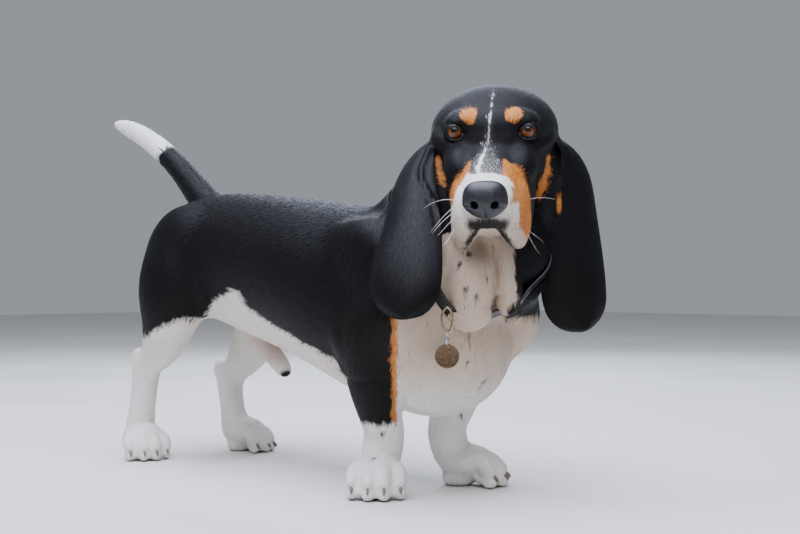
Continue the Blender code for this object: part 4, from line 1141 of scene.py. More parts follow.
def regions(points, on_ear):
    """The part of the hound that each point belongs to, by number."""
    x, y, z = points.T
    head = is_head(points)
    neck = ((x - 0.250) * 0.66 + (z - 0.275) * 0.75 > 0) & ~head
    tail = (-0.75 * (x + 0.214) + 0.66 * (z - 0.372) > 0) & (x < -0.2) & (z > 0.33)
    fore = (x > 0.165) & (z < 0.150) & (np.abs(y) > 0.040) & ~((z > 0.10) & (np.abs(y) < 0.05))
    fore |= (x > 0.165) & (z < 0.085)
    hind = (x < -0.06) & (z < 0.180) & ~((z > 0.14) & (np.abs(y) < 0.04) & (x > -0.10))
    number = np.zeros(len(points), int)
    number[neck] = 1
    number[fore] = 3
    number[hind] = 4
    number[tail] = 5
    number[head] = 2
    number[on_ear] = 6
    return number


def lie_of_coat(points, number):
    """The way the hair points at each place, before it is laid on the skin."""
    x, y, z = points.T
    place = in_frame(HEAD, points)
    lie = np.tile([-1.0, 0.0, 0.0], (len(points), 1))
    lateral = ramp(np.abs(y), 0.04, 0.10)
    lie[:, 2] = -0.40 * lateral
    shoulder = ramp(x, 0.13, 0.20) * lateral
    haunch = ramp(-x, 0.09, 0.15) * lateral
    lie[:, 2] -= 1.1 * shoulder + 0.9 * haunch
    lie[:, 0] *= 1 - 0.45 * shoulder
    front = (x > 0.27) & (z < 0.25)
    lie[front] = (-0.15, 0.0, -1.0)
    lie[number == 1] = (-0.55, 0.0, -0.75)
    throat = (number == 1) & (seen(points)[1] < -0.20)
    lie[throat] = (-0.20, 0.05, -1.0)
    lie[(number == 3) | (number == 4)] = (-0.12, 0.0, -1.0)
    for px, py, yaw, _ in PAWS.values():
        paw = (z < 0.042) & (np.hypot(x - px, y - py) < 0.075)
        lie[paw] = (math.cos(math.radians(yaw)), math.sin(math.radians(yaw)), -0.45)
    lie[number == 5] = (-0.85, 0.0, 0.50)
    face = np.tile([-1.0, 0.0, -0.10], (len(points), 1))
    face[:, 1] = np.sign(place[:, 1]) * ramp(np.abs(place[:, 1]), 0.010, 0.05) * 0.35
    cheek = ramp(-place[:, 2], 0.02, 0.06)
    face[:, 2] -= 0.9 * cheek
    lips = ramp(place[:, 0], 0.05, 0.09) * ramp(-place[:, 2], 0.035, 0.06)
    face[:, 2] -= 0.9 * lips
    face[:, 0] += 0.5 * lips
    head = number == 2
    lie[head] = from_frame(HEAD, face)[head]
    ear = number == 6
    side = in_frame(FACE, points)[:, 1] > 0
    lie[ear & side] = from_frame(FACE, np.array([(-0.03, 0.02, -1.0)]))[0]
    lie[ear & ~side] = from_frame(FACE, np.array([(0.52, 0.0, -0.85)]))[0]
    return lie


def hair_sizes(points, number, sizes):
    """Each place's tuft length, width, lift and number of tufts to the area."""
    body, face, foot = sizes.body_hair, sizes.face_hair, sizes.foot_hair
    place = in_frame(HEAD, points)
    z = points[:, 2]
    length = np.choose(number, [body, body, face * 1.15, foot * 1.4, foot * 1.4, body * 1.15, face * 1.35])
    lift = np.choose(number, [0.00038, 0.00045, 0.00032, 0.00040, 0.00040, 0.00060, 0.00032])
    muzzle = (number == 2) & (place[:, 0] > 0.02)
    length = np.where(muzzle, face * 0.85, length)
    length = np.where(z < 0.045, foot * 0.9, length)
    length = np.where((number == 1) & (seen(points)[1] < -0.20), body * 0.7, length)
    width = length * np.choose(number, [0.046, 0.046, 0.072, 0.060, 0.060, 0.046, 0.060])
    thick = 1.0 / (length * width)
    return np.stack([length, width, lift, thick], 1)


def bare_places(points, nearest_collar):
    """Which places carry no tufts: the eyes, the nose, the soles and what the collar lies on."""
    place = in_frame(HEAD, points)
    bare = np.zeros(len(points), bool)
    for centre in eye_places().values():
        ahead = in_frame(looking(centre), points)
        away = lengths(ahead)
        opening = (ahead[:, 1] / 0.0142) ** 2 + ((ahead[:, 2] - 0.0002) / 0.0136) ** 2 < 1
        bare |= (away < EYE_RADIUS + 0.0008) | ((away < EYE_RADIUS + 0.008) & opening & (ahead[:, 0] > 0))
    nose = place - np.array(NOSE_CENTRE) - (-0.0012, 0, 0.002)
    bare |= ((nose / (np.array(NOSE_RADII) + (0.0006, 0.0012, 0.0022))) ** 2).sum(1) < 1.0
    bare |= points[:, 2] < 0.0012
    bare |= nearest_collar < 0.0028
    return bare


SEED = 11                        # of the chances in the coat


def tuft_arrays(skin, sizes, colours):
    """Roots, middles, tips, normals, sizes, colours and unwrap places of all tufts."""
    mesh = skin.data
    points = coords(mesh)
    ends = column(mesh.edges, "vertices", 2, np.int32)
    mesh.calc_loop_triangles()
    corners = column(mesh.loop_triangles, "vertices", 3, np.int32)
    loops = column(mesh.loop_triangles, "loops", 3, np.int32)
    unwrap = column(mesh.uv_layers["unwrap"].data, "uv", 2)
    normals = column(mesh.vertices, "normal", 3).astype(np.float64)
    on_ear = on_surfaces(points, ear_trees(), EAR_REACH)
    number = regions(points, on_ear)
    lie = spread(unit(lie_of_coat(points, number)), ends, 14)
    hair = spread(hair_sizes(points, number, sizes), ends, 5)
    a, b, c = (points[corners[:, k]] for k in range(3))
    area = lengths(np.cross(b - a, c - a)) / 2
    weight = area * hair[:, 3][corners].mean(1)
    total = np.cumsum(weight)
    rng = np.random.default_rng(SEED)
    amount = sizes.tufts
    picks = np.searchsorted(total, (np.arange(amount) + rng.random(amount)) / amount * total[-1])
    picks = picks.clip(0, len(corners) - 1)
    u, v = rng.random((2, amount))
    over = u + v > 1
    u[over], v[over] = 1 - u[over], 1 - v[over]
    share = np.stack([1 - u - v, u, v], 1)[:, :, None]

    def at(values):
        return (values[corners[picks]] * share).sum(1)

    roots = at(points)
    up = unit(at(normals))
    way = at(lie) + rng.normal(0, 0.040, (amount, 3))
    hair = at(hair)
    ear = on_ear[corners[picks, 0]]
    place_on_unwrap = (unwrap[loops[picks]] * share).sum(1)
    keep = ~bare_places(roots, collar_distance(roots)) & (lengths(way) > 1e-6)
    roots, up, way, hair, ear, place_on_unwrap = (
        values[keep] for values in (roots, up, way, hair, ear, place_on_unwrap))
    group = number[corners[picks[keep], 0]]
    amount = len(roots)
    way = level_with(way, up)
    length = hair[:, 0] * rng.uniform(0.75, 1.2, amount)
    surface = BVHTree.FromPolygons([tuple(p) for p in points], [tuple(int(k) for k in t) for t in corners])
    reach = [roots]
    normal_at = [up]
    heading = way
    for _ in range(2):
        step = reach[-1] + heading * (length / 2)[:, None]
        hits, faces = np.empty_like(step), np.empty_like(step)
        for i, spot in enumerate(step):
            hit, normal = surface.find_nearest(spot)[:2]
            hits[i], faces[i] = hit, normal
        reach.append(hits)
        normal_at.append(faces)
        heading = level_with(hits - reach[-2], faces)
    lift = hair[:, 2] * rng.uniform(0.5, 1.15, amount)
    wild = rng.random(amount) < 0.04
    root = reach[0] - up * 0.0005
    middle = reach[1] + normal_at[1] * (lift * 0.8)[:, None]
    tip = reach[2] + normal_at[2] * (lift * np.where(wild, 1.7, 0.9))[:, None]
    for spot in (root, middle, tip):
        spot[:, 2] = spot[:, 2].clip(0.0008)
    across = np.cross(way, up)
    wide = hair[:, 1] * rng.uniform(0.8, 1.25, amount)
    jitter = rng.normal(0, 0.0011, amount)
    colour = markings(roots, ear, colours, jitter, 1e-5)
    mixed = rng.random(amount) < roan(in_frame(HEAD, roots), is_head(roots) & ~ear)
    colour[mixed & (colour.mean(1) < 0.2)] = np.array(colours.white) * 0.62
    colour[(rng.random(amount) < 0.30) & (spotted(roots) > -0.001)] = np.array(colours.grey) * 1.6
    pale = colour.mean(1) > 0.25
    dark = (rng.random(amount) < ticking(roots, ear)) & pale
    colour[dark] = np.array(colours.grey) * rng.uniform(0.15, 0.9, dark.sum())[:, None]
    colour[whisker_dots(in_frame(HEAD, roots)) & pale] = np.array(colours.grey) * 0.5
    ghost = (rng.random(amount) < 0.02) & ~pale & (group != 6)
    colour[ghost] *= 1.8
    warm = colour[:, 0] > 2.5 * colour[:, 2]
    change = np.where(warm, 0.28, np.where(colour.mean(1) > 0.2, 0.08, 0.12))
    colour *= (1 + change * rng.uniform(-1, 1, amount))[:, None]
    lean = rng.normal(0, 1, (2, amount))[:, :, None]
    lit = up + across * lean[0] * 0.13 + way * lean[1] * 0.09
    return dict(root=root, middle=middle, tip=tip, up=up, across=across, wide=wide, lit=lit,
                colour=colour, unwrap=place_on_unwrap, group=group)


def tuft_pattern():
    """A tuft's faces, and where their corners lie on the unwrap: its end and its three sides, apart."""
    sides = ((0, 1), (1, 2), (2, 0))
    faces = [(0, 2, 1)] + [(a, b, b + 3, a + 3) for a, b in sides] + [(a + 3, b + 3, 6) for a, b in sides]
    corners = [(-0.0015, -0.0015), (-0.0012, -0.0011), (-0.0009, -0.0015)]
    spans = [(-0.0015 + 0.001 * side + 0.0001, -0.0015 + 0.001 * side + 0.0009) for side in range(3)]
    for left, right in spans:
        corners += [(left, -0.0011), (right, -0.0011), (right, 0), (left, 0)]
    for left, right in spans:
        corners += [(left, 0), (right, 0), ((left + right) / 2, 0.0015)]
    return faces, np.array(corners)


def tuft_piece(name, t, pick):
    """One mesh of many tufts, each a closed three-sided blade of ten triangles."""
    t = {key: values[pick] for key, values in t.items()}
    root, middle, tip, up, across, lit = (t[key] for key in ("root", "middle", "tip", "up", "across", "lit"))
    wide = t["wide"][:, None]
    count = len(root)
    verts = np.stack([root + across * wide / 2, root - across * wide / 2, root + up * wide * 0.26,
                      middle + across * wide * 0.46, middle - across * wide * 0.46,
                      middle + up * wide * 0.20, tip], 1)
    faces, corners = tuft_pattern()
    flat = [k for f in faces for k in f]
    starts = np.cumsum([0] + [len(f) for f in faces])[:-1]
    index = (np.array(flat)[None, :] + 7 * np.arange(count)[:, None]).ravel()
    begin = (starts[None, :] + len(flat) * np.arange(count)[:, None]).ravel()
    mesh = bpy.data.meshes.new(name)
    mesh.vertices.add(7 * count)
    mesh.vertices.foreach_set("co", verts.astype(np.float32).ravel())
    mesh.loops.add(len(index))
    mesh.loops.foreach_set("vertex_index", index.astype(np.int32))
    mesh.polygons.add(len(begin))
    mesh.polygons.foreach_set("loop_start", begin.astype(np.int32))
    mesh.update(calc_edges=True)
    mesh.polygons.foreach_set("use_smooth", np.ones(len(begin), bool))
    shade = np.array([0.72, 0.72, 0.78, 1.0, 1.0, 1.05, 1.12])      # painted shade at a lock's root and painted light at its tip
    store_colour(mesh, (t["colour"][:, None, :] * shade[None, :, None]).reshape(-1, 3))
    # The hairs of one lock shade much as the surface under them does, rounder across
    rounder = across * 0.75
    lit = np.stack([lit + rounder, lit - rounder, lit, lit + rounder, lit - rounder, lit, lit], 1)
    mesh.normals_split_custom_set_from_vertices(unit(lit.reshape(-1, 3)).tolist())
    uv = t["unwrap"].clip(0.0016, 0.9984)[:, None, :] + corners[None]
    mesh.uv_layers.new(name="OFBake").data.foreach_set("uv", uv.astype(np.float32).ravel())
    return settled(made_of(mesh, name))


# The coat's parts in the order of their numbers, each with the node that it is paired with
COAT_PARTS = (("trunk", "torso"), ("neck", "neck"), ("head", "head"), ("forelegs", "foreleg_left"),
              ("hindlegs", "hindleg_left"), ("tail", "tail"), ("ears", "ear_left"))
MOST_TUFTS = 19500               # in one piece, which keeps it under 200,000 triangles


def settled(piece):
    """Moves a finished piece from the frame between the paws to the model's, in its mesh."""
    piece.data.transform(Matrix.Translation(SHIFT))
    piece.data.update()
    return piece


# Finishes

def add(tree, kind, sockets=None, **settings):
    """Adds a node: settings are its own, sockets its inputs' values or the outputs linked to them."""
    made = tree.nodes.new(kind)
    for key, value in settings.items():
        setattr(made, key, value)
    for key, value in (sockets or {}).items():
        if isinstance(value, bpy.types.NodeSocket):
            tree.links.new(value, made.inputs[key])
        else:
            made.inputs[key].default_value = value
    return made


def blank(name, **values):
    """A new material with its shader's plain values set; returns it, its tree and its shader."""
    material = bpy.data.materials.new(name)
    material.use_nodes = True
    tree = material.node_tree
    shader = tree.nodes["Principled BSDF"]
    for key, value in values.items():
        shader.inputs[key.replace("_", " ").title().replace("Ior", "IOR")].default_value = value
    return material, tree, shader


def dress(piece, material):
    """Gives a piece one material."""
    piece.data.materials.clear()
    piece.data.materials.append(material)
    return piece


def finished(piece, material):
    """Shades a piece smooth, moves it to the model's frame and gives it its material."""
    piece.data.shade_smooth()
    return dress(settled(piece), material)


def wired(tree, shader, outputs):
    """Links outputs to a shader's inputs of those names."""
    for name, output in outputs.items():
        tree.links.new(output, shader.inputs[name])


def varied(tree, noise, low, high, spare=0.3):
    """A noise stretched to run from low to high."""
    return add(tree, "ShaderNodeMapRange", {"Value": noise, "From Min": spare, "From Max": 1 - spare,
                                            "To Min": low, "To Max": high}).outputs["Result"]


def coat_colour(tree):
    """The colour that is stored on the coat's points."""
    return add(tree, "ShaderNodeAttribute", attribute_name="coat").outputs["Color"]


def multiplied(tree, colour, share):
    """A colour made darker or lighter by a share."""
    return add(tree, "ShaderNodeMix", {"Factor": 1.0, 6: colour, 7: share}, data_type="RGBA",
               blend_type="MULTIPLY").outputs[2]


def speckled(tree, colour, size, low, high, detail=3.0):
    """A colour that varies a little in brightness with a noise of that size in metres."""
    where = add(tree, "ShaderNodeTexCoord").outputs["Object"]
    noise = add(tree, "ShaderNodeTexNoise", {"Vector": where, "Scale": 1 / size, "Detail": detail})
    if not isinstance(colour, bpy.types.NodeSocket):
        colour = (*colour, 1.0)
    share = varied(tree, noise.outputs["Fac"], low, high)
    return multiplied(tree, colour, share), noise.outputs["Fac"], where


def coat_material():
    """Short smooth dog hair: each hair is glossy along its length, so the coat has a soft sheen."""
    material, tree, shader = blank("short_coat", roughness=0.45, specular_ior_level=0.12)
    shader.inputs["Sheen Weight"].default_value = 0.05
    shader.inputs["Sheen Roughness"].default_value = 0.40
    wired(tree, shader, {"Base Color": speckled(tree, coat_colour(tree), 0.030, 0.88, 1.10)[0]})
    return material


def skin_material():
    """Haired skin under the tufts: the coat's colour, matt, with the fine grain of packed short hair."""
    material, tree, shader = blank("haired_skin", roughness=0.50, specular_ior_level=0.15)
    # Hairs lie about 0.4 mm apart; the grain is drawn at 0.9 mm so that it shows.
    colour, grain, _ = speckled(tree, coat_colour(tree), 0.0009, 0.72, 1.08)
    bump = add(tree, "ShaderNodeBump", {"Height": grain, "Strength": 0.5, "Distance": 0.0004})
    wired(tree, shader, {"Base Color": colour, "Normal": bump.outputs["Normal"]})
    return material


def eye_material(colours, sizes):
    """A wet eyeball: amber iris with radial fibres, a dark rim and pupil under a clear cornea."""
    material, tree, shader = blank("eyeball", roughness=0.30, specular_ior_level=0.15, coat_weight=0.6,
                                    coat_roughness=0.02)
    radius = add(tree, "ShaderNodeAttribute", attribute_name="from_axis").outputs["Fac"]
    turn = add(tree, "ShaderNodeAttribute", attribute_name="fibre").outputs["Vector"]
    fibres = add(tree, "ShaderNodeTexNoise", {"Vector": turn, "Scale": 1.0, "Detail": 4.0})
    ramp_node = add(tree, "ShaderNodeValToRGB", {"Fac": radius})
    ramp = ramp_node.color_ramp
    inner, middle, outer = (tuple(c * share for c in colours.iris) for share in (0.35, 0.95, 0.75))
    stops = [(0.0, (0.002, 0.002, 0.002)), (sizes.pupil * 0.92, (0.002, 0.002, 0.002)),
             (sizes.pupil * 1.15, inner), (sizes.iris * 0.62, middle), (sizes.iris * 0.84, outer),
             (sizes.iris * 0.97, (0.010, 0.006, 0.004)), (sizes.iris * 1.10, (0.030, 0.018, 0.013)),
             (EYE_RADIUS, (0.10, 0.06, 0.05))]
    while len(ramp.elements) < len(stops):
        ramp.elements.new(0.5)
    for element, (place, colour) in zip(ramp.elements, stops):
        element.position = place / EYE_RADIUS
        element.color = (*colour, 1.0)
    share = varied(tree, fibres.outputs["Fac"], 0.62, 1.25, 0.35)
    wired(tree, shader, {"Base Color": multiplied(tree, ramp_node.outputs["Color"], share)})
    return material


def leather_material(name, colour, cell, rough, depth, gloss=0.36):
    """Bare moist skin, pebbled: cells of that size with soft valleys between them."""
    material, tree, shader = blank(name, roughness=rough, specular_ior_level=gloss)
    tone, grain, where = speckled(tree, tuple(colour), 0.004, 0.75, 1.15)
    cells = add(tree, "ShaderNodeTexVoronoi", {"Vector": where, "Scale": 1 / cell}, feature="SMOOTH_F1")
    height = {"Height": cells.outputs["Distance"], "Strength": 0.6, "Distance": depth}
    bump = add(tree, "ShaderNodeBump", height, invert=True)
    wired(tree, shader, {"Base Color": tone, "Normal": bump.outputs["Normal"],
                         "Roughness": varied(tree, grain, rough * 0.8, rough * 1.3)})
    return material


def plain_material(name, colour, rough, metal, grain, depth, low=0.82, high=1.12):
    """A material with a faint grain of that size in its colour, gloss and surface."""
    material, tree, shader = blank(name, roughness=rough, metallic=metal)
    tone, noise, _ = speckled(tree, tuple(colour), grain, low, high)
    bump = add(tree, "ShaderNodeBump", {"Height": noise, "Strength": 0.4, "Distance": depth})
    wired(tree, shader, {"Base Color": tone, "Normal": bump.outputs["Normal"],
                         "Roughness": varied(tree, noise, rough * 0.75, rough * 1.3)})
    return material


def painted(skin, colours):
    """Stores the coat's colour on the skin's points, with a dark ring round each eye that is partly painted
    shade.
    """
    mesh = skin.data
    points = coords(mesh)
    on_ear = on_surfaces(points, ear_trees(), EAR_REACH)
    colour = markings(points, on_ear, colours, 0.0, 0.0012)
    share = roan(in_frame(HEAD, points), is_head(points) & ~on_ear) * (colour.mean(1) < 0.2)
    colour = toward(colour, np.array(colours.white) * 0.6, share * 0.7)
    colour = toward(colour, 0.0, 0.6 * ticking(points, on_ear) * (colour.mean(1) > 0.2))
    # Darkens the coat round each eye: partly the bare black skin of the lids, partly painted shade in the
    # hollow round the opening.
    for centre in eye_places().values():
        ahead = in_frame(looking(centre), points)
        away = np.hypot(ahead[:, 1] / 1.05, ahead[:, 2] - 0.0004) + 0.5 * np.clip(-ahead[:, 0], 0, 1)
        colour = toward(colour, 0.0, 0.85 * ramp(-away, -0.0180, -0.0140) * (lengths(ahead) < 0.026))
    colour = toward(colour, np.array((0.02, 0.017, 0.016)), ramp(-points[:, 2], -0.004, -0.0005))
    store_colour(mesh, colour)


# Pieces

def fine_ball(name, radius, frame):
    """A closed eyeball, the pole of its mesh on its axis of sight, with a slightly domed cornea."""
    ball = primitive("uv_sphere", name, Matrix.Rotation(math.radians(90), 4, "Y"), segments=64, ring_count=64,
                     radius=radius)
    mesh = ball.data
    points = coords(mesh)
    off = np.hypot(points[:, 1], points[:, 2])
    front = points[:, 0] > 0
    points[:, 0] += np.where(front, 0.0009 * ramp(-off, -0.0088, -0.0040), 0)
    angle = np.arctan2(points[:, 2], points[:, 1])
    fibre = np.stack([np.cos(angle) * 9, np.sin(angle) * 9, off * 260], 1)
    for layer, kind, socket, values in (
            ("from_axis", "FLOAT", "value", np.where(front, off, radius) / EYE_RADIUS),
            ("fibre", "FLOAT_VECTOR", "vector", fibre)):
        mesh.attributes.new(layer, kind, "POINT").data.foreach_set(socket, values.astype(np.float32).ravel())
    set_coords(mesh, points)
    mesh.transform(frame)
    return ball


def tube(name, path, radii, sides=10, closed=False, frame=Matrix.Identity(4), flat=1.0):
    """A round tube along points, with its own radius at each; flat presses it across."""
    path = [Vector(p) for p in path]
    count = len(path)
    rings = []
    across = None
    for i, point in enumerate(path):
        if closed:
            along = (path[(i + 1) % count] - path[i - 1]).normalized()
        else:
            along = (path[min(i + 1, count - 1)] - path[max(i - 1, 0)]).normalized()
        if across is None:
            across = along.orthogonal().normalized()
        across = (across - along * across.dot(along)).normalized()
        above = along.cross(across)
        rings.append([point + (across * math.cos(a) + above * math.sin(a) * flat) * radii[i]
                      for a in (2 * math.pi * k / sides for k in range(sides))])
    return shell(name, rings, frame, ends="looped" if closed else "capped")


def lid_path(side, steps=72):
    """The edge of the lids in an eye's frame; side is +1 where the nose is on the right of the eye."""
    radius = EYE_RADIUS + 0.0009
    path = []
    for k in range(steps):
        t = 2 * math.pi * k / steps
        y = 0.0088 * math.cos(t) - side * 0.0016 * max(0.0, -side * math.cos(t)) ** 5
        z = (0.0076 if math.sin(t) > 0 else 0.0083) * math.sin(t) - 0.0012
        z -= 0.0014 * max(0.0, -side * math.cos(t)) ** 3
        path.append((math.sqrt(max(radius ** 2 - y * y - z * z, 1e-6)), y, z))
    return path


def eye_pieces(colours, sizes):
    """The eyeballs, the dark moist edges of the lids and the haws in their inner corners."""
    made = []
    glass = eye_material(colours, sizes)
    rim = leather_material("lid_edge", (0.012, 0.009, 0.009), 0.0008, 0.28, 0.00008)
    haw = leather_material("haw", linear("#2e1b19"), 0.0012, 0.22, 0.00008)
    for name, centre in eye_places().items():
        side = 1 if name == "eye_left" else -1
        sight = (looking(centre) @ Matrix.Rotation(math.radians(-11), 4, "Y")
                 @ Matrix.Rotation(math.radians(side * 1.0), 4, "Z"))
        ball = fine_ball(name.replace("eye", "eyeball"), EYE_RADIUS, sight)
        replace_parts(finished(ball, glass), name)
        path = lid_path(side)
        thick = [0.0009 + 0.0010 * max(0.0, p[2]) / 0.0064 for p in path]
        edge = tube("lid_edge_" + name[4:], path, thick, sides=12, closed=True, frame=looking(centre))
        made.append((finished(edge, rim), "head"))
        inner = Vector((0.0070, -side * 0.0092, -0.0040))
        lump = ellipsoid("haw_" + name[4:], inner, (0.0024, 0.0022, 0.0030), looking(centre), segments=24)
        made.append((finished(lump, haw), "head"))
        made.append((ball, name))
    return made


def nose_piece(colours):
    """The nose leather: a broad pad with a groove down its middle, comma-shaped nostrils and wings."""
    nose = ellipsoid("nose_leather", NOSE_CENTRE, NOSE_RADII, HEAD, segments=128)
    mesh = nose.data
    place = in_frame(HEAD, coords(mesh)) - np.array(NOSE_CENTRE)
    rise = -0.5 * place[:, 0] + 0.866 * place[:, 2]
    # The pad is squarer than an oval above and narrower below, and its top reaches back up the muzzle
    a, b = np.abs(place[:, 1]) / NOSE_RADII.y, np.abs(rise) / 0.0179
    power = np.where(rise > 0, 2.9, 2.2)
    square = np.hypot(a, b) / (a ** power + b ** power).clip(1e-9) ** (1 / power)
    wide = place[:, 1] * square * (1 - 0.20 * ramp(-rise, 0.003, 0.018))
    lifted = rise * (square - 1) + 0.0042 * ramp(rise, 0.002, 0.017)
    place = place + np.stack([-0.5 * lifted, wide - place[:, 1], 0.866 * lifted], 1)
    set_coords(mesh, from_frame(HEAD, place + np.array(NOSE_CENTRE)) + np.array(HEAD.translation))
    for sign in (1, -1):
        middle = (NOSE_CENTRE.x + 0.0140, NOSE_CENTRE.y + sign * 0.0108, NOSE_CENTRE.z + 0.0028)
        hole = ellipsoid("nostril", middle, (0.011, 0.0049, 0.0044), HEAD, turn=(sign * 25, 0, sign * 20),
                         segments=40)
        combined(nose, hole, "DIFFERENCE")
    points = coords(mesh)
    place = in_frame(HEAD, points) - np.array(NOSE_CENTRE)
    x, y, z = place.T
    front = ramp(x, 0.004, 0.012)
    out = place / np.array(NOSE_RADII) ** 2
    out /= lengths(out)[:, None]
    groove = -0.0022 * np.exp(-(y / 0.0010) ** 2) * front * ramp(-z, -0.006, 0.000)
    slit = np.zeros(len(x))
    for sign in (1, -1):
        path = [(0.0120, sign * 0.0150, 0.0012), (0.0085, sign * 0.0190, -0.0020),
                (0.0040, sign * 0.0215, -0.0040)]
        slit = np.maximum(slit, np.exp(-(line_distance(place, path) / 0.0016) ** 2))
    dish = -0.0007 * np.exp(-((y / 0.007) ** 2 + ((z - 0.010) / 0.007) ** 2)) * front
    move = groove - 0.0026 * slit + dish
    set_coords(mesh, points + from_frame(HEAD, out * move[:, None]))
    finished(nose, leather_material("nose_leather", colours.leather, 0.0010, 0.40, 0.00022, 0.62))
    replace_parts(nose, "nose")
    return [(nose, "nose")]


# A claw's stations: place ahead of and above the toe's tip, half width and half depth
CLAW = ((-0.004, 0.0030, 0.0026, 0.0033), (0.002, 0.0020, 0.0025, 0.0031),
        (0.0051, -0.0010, 0.0021, 0.0026), (0.0072, -0.0046, 0.0012, 0.0015))


def claw_piece(colours):
    """Short blunt claws, four to a paw."""
    claws = []
    for x, y, yaw, size in PAWS.values():
        stand = floor_frame(x, y, yaw)
        for toe in (-1.5, -0.5, 0.5, 1.5):
            tip = TOE_TIPS[abs(toe)].copy()
            tip.y = toe * TOE_SPREAD
            tip *= size
            worn = 0.84 + 0.08 * math.sin(7 * toe + 3 * len(claws))
            claw = [(tip + Vector((ahead, 0, rise)) * worn - Vector((0.0004, 0, 0)), half * worn, deep * worn)
                    for ahead, rise, half, deep in CLAW]
            claws.append(baked(loft("claw", claw, frame=stand, ring=12, levels=2)))
    horn = plain_material("claw_horn", colours.horn, 0.38, 0.0, 0.0015, 0.0001, 0.7, 1.25)
    return [(finished(together(claws, "claws"), horn), "paw_front_right")]


def inside_box(point, spare=0.001):
    """Whether a point of the paw frame lies inside the solids' box, a little within it."""
    low, high = CAD_BOX
    place = point + SHIFT
    return all(low[k] + spare < place[k] < high[k] - spare for k in range(3))


# Each long whisker: its root on the lip in the head's frame, how far it reaches sideways, its rise or
# fall halfway and at its tip, and its radius
WHISKERS = [((0.0731, -0.0400, -0.0499), 0.034, 0.002, -0.009, 0.00034),
            ((0.0848, -0.0382, -0.0527), 0.027, -0.006, -0.028, 0.00034),
            ((0.0847, -0.0396, -0.0600), 0.03, -0.006, -0.031, 0.0003),
            ((0.0868, -0.0397, -0.0664), 0.0215, -0.007, -0.022, 0.0003),
            ((0.0932, -0.0384, -0.0718), 0.012, -0.011, -0.023, 0.00026),
            ((0.0929, -0.0386, -0.0790), 0.025, -0.01, -0.028, 0.00036),
            ((0.0900, -0.0390, -0.0850), 0.008, -0.01, -0.019, 0.00024),
            ((0.0600, 0.0440, -0.0560), 0.028, 0.002, 0, 0.0002),
            ((0.0792, 0.0419, -0.0845), 0.017, -0.004, -0.013, 0.0002),
            ((0.0800, 0.0418, -0.0890), 0.013, -0.009, -0.022, 0.0002)]


def whisker_piece():
    """Stiff white whiskers on the lips, with a few dark ones over the eyes."""
    pale, dark = [], []
    for root, reach, mid, end, thick in WHISKERS:
        root = FACE.inverted() @ HEAD @ Vector(root)
        side = math.copysign(1, root.y)
        bend = root + Vector((-0.003, side * reach * 0.50, mid * 1.6))
        tip = root + Vector((-0.008, side * reach, end))
        pale.append((root, bend, tip, thick))
    for side in (1, -1):
        for k in range(4):
            root = Vector((-0.004 + 0.003 * k, side * (0.030 + 0.004 * k), 0.0155 - 0.0015 * k))
            tip = root + Vector((0.009, side * (0.003 + 0.002 * k), 0.011 - 0.002 * k))
            bend = root.lerp(tip, 0.5) + Vector((0.001, 0, 0.0015))
            dark.append([FACE.inverted() @ HEAD @ p for p in (root, bend, tip)] + [0.00022])
    made = []
    for name, hairs, keratin, code, rough in (("whiskers", pale, "whisker_keratin", "#efe9df", 0.35),
                                              ("brow_whiskers", dark, "dark_keratin", "#1b1718", 0.4)):
        material = plain_material(keratin, linear(code), rough, 0.0, 0.004, 0.00005)
        tubes = []
        for root, bend, tip, thick in hairs:
            path = [FACE @ (root * (1 - t) ** 2 + bend * 2 * t * (1 - t) + tip * t * t)
                    for t in (k / 8 for k in range(9))]
            path = [p for p in path if inside_box(p)]
            if len(path) > 3:
                radii = [thick * (1 - 0.88 * k / len(path)) for k in range(len(path))]
                tubes.append(tube("hair", path, radii, sides=6))
        made.append((finished(together(tubes, name), material), "head"))
    return made


def refined(loop, steps):
    """Points on the smooth closed curve through a loop's points, so many steps to each span."""
    for i, b in enumerate(loop):
        a, c, d = loop[i - 1], loop[(i + 1) % len(loop)], loop[(i + 2) % len(loop)]
        for t in (k / steps for k in range(steps)):
            yield 0.5 * (2 * b + (c - a) * t + (2 * a - 5 * b + 4 * c - d) * t ** 2
                         + (3 * b - a - 3 * c + d) * t ** 3)


def neck_path(skin, clear):
    """Points round the neck along the collar's guides, each a little outside the coat."""
    tree = surface_of(skin.data)
    low, high = COLLAR_HEART
    points = []
    for point in refined([Vector(p) for p in COLLAR_GUIDES], 4):
        heart = low.lerp(high, min(1.0, max(0.0, (point.z - 0.20) / 0.16)))
        ray = (point - heart).normalized()
        points.append(tree.ray_cast(heart, ray)[0] + ray * clear)
    count = len(points)
    return [(points[k - 2] + points[k - 1] + points[k] * 2 + points[(k + 1) % count]
             + points[(k + 2) % count]) / 6 for k in range(count)]


def collar_distance(points):
    """Each point's distance from the collar's solid."""
    tree = surface_of(frame["nodes"]["collar"].data)
    far = np.full(len(points), 1.0)
    neck = (points[:, 0] > 0.19) & (points[:, 2] > 0.16) & (points[:, 2] < 0.40)
    for i in np.flatnonzero(neck):
        hit = tree.find_nearest(Vector(points[i]) + SHIFT, 0.03)
        if hit[0] is not None:
            far[i] = hit[3]
    return far


def strap_frames(points):
    """The point, the direction out of the neck and the direction across the strap at each step."""
    centre = sum(points, Vector()) / len(points)
    for i, point in enumerate(points):
        along = (points[(i + 1) % len(points)] - points[i - 1]).normalized()
        out = point - centre
        out = (out - along * out.dot(along)).normalized()
        yield point, out, along.cross(out), along


# The strap's section in its half width and half thickness: a flat inside, and raised edges outside
STRAP_SECTION = [(-1.0, -0.5), (-0.93, -1), (0, -1), (0.93, -1), (1.0, -0.5), (1.0, 0.45), (0.95, 0.95),
                 (0.84, 1.0), (0.74, 0.78), (0.4, 0.72), (-0.4, 0.72), (-0.74, 0.78), (-0.84, 1.0),
                 (-0.95, 0.95), (-1.0, 0.45)]
STITCH_PITCH = 0.0034            # from the start of one stitch to the next
STITCH_HALF = 0.0011             # half the length of a stitch


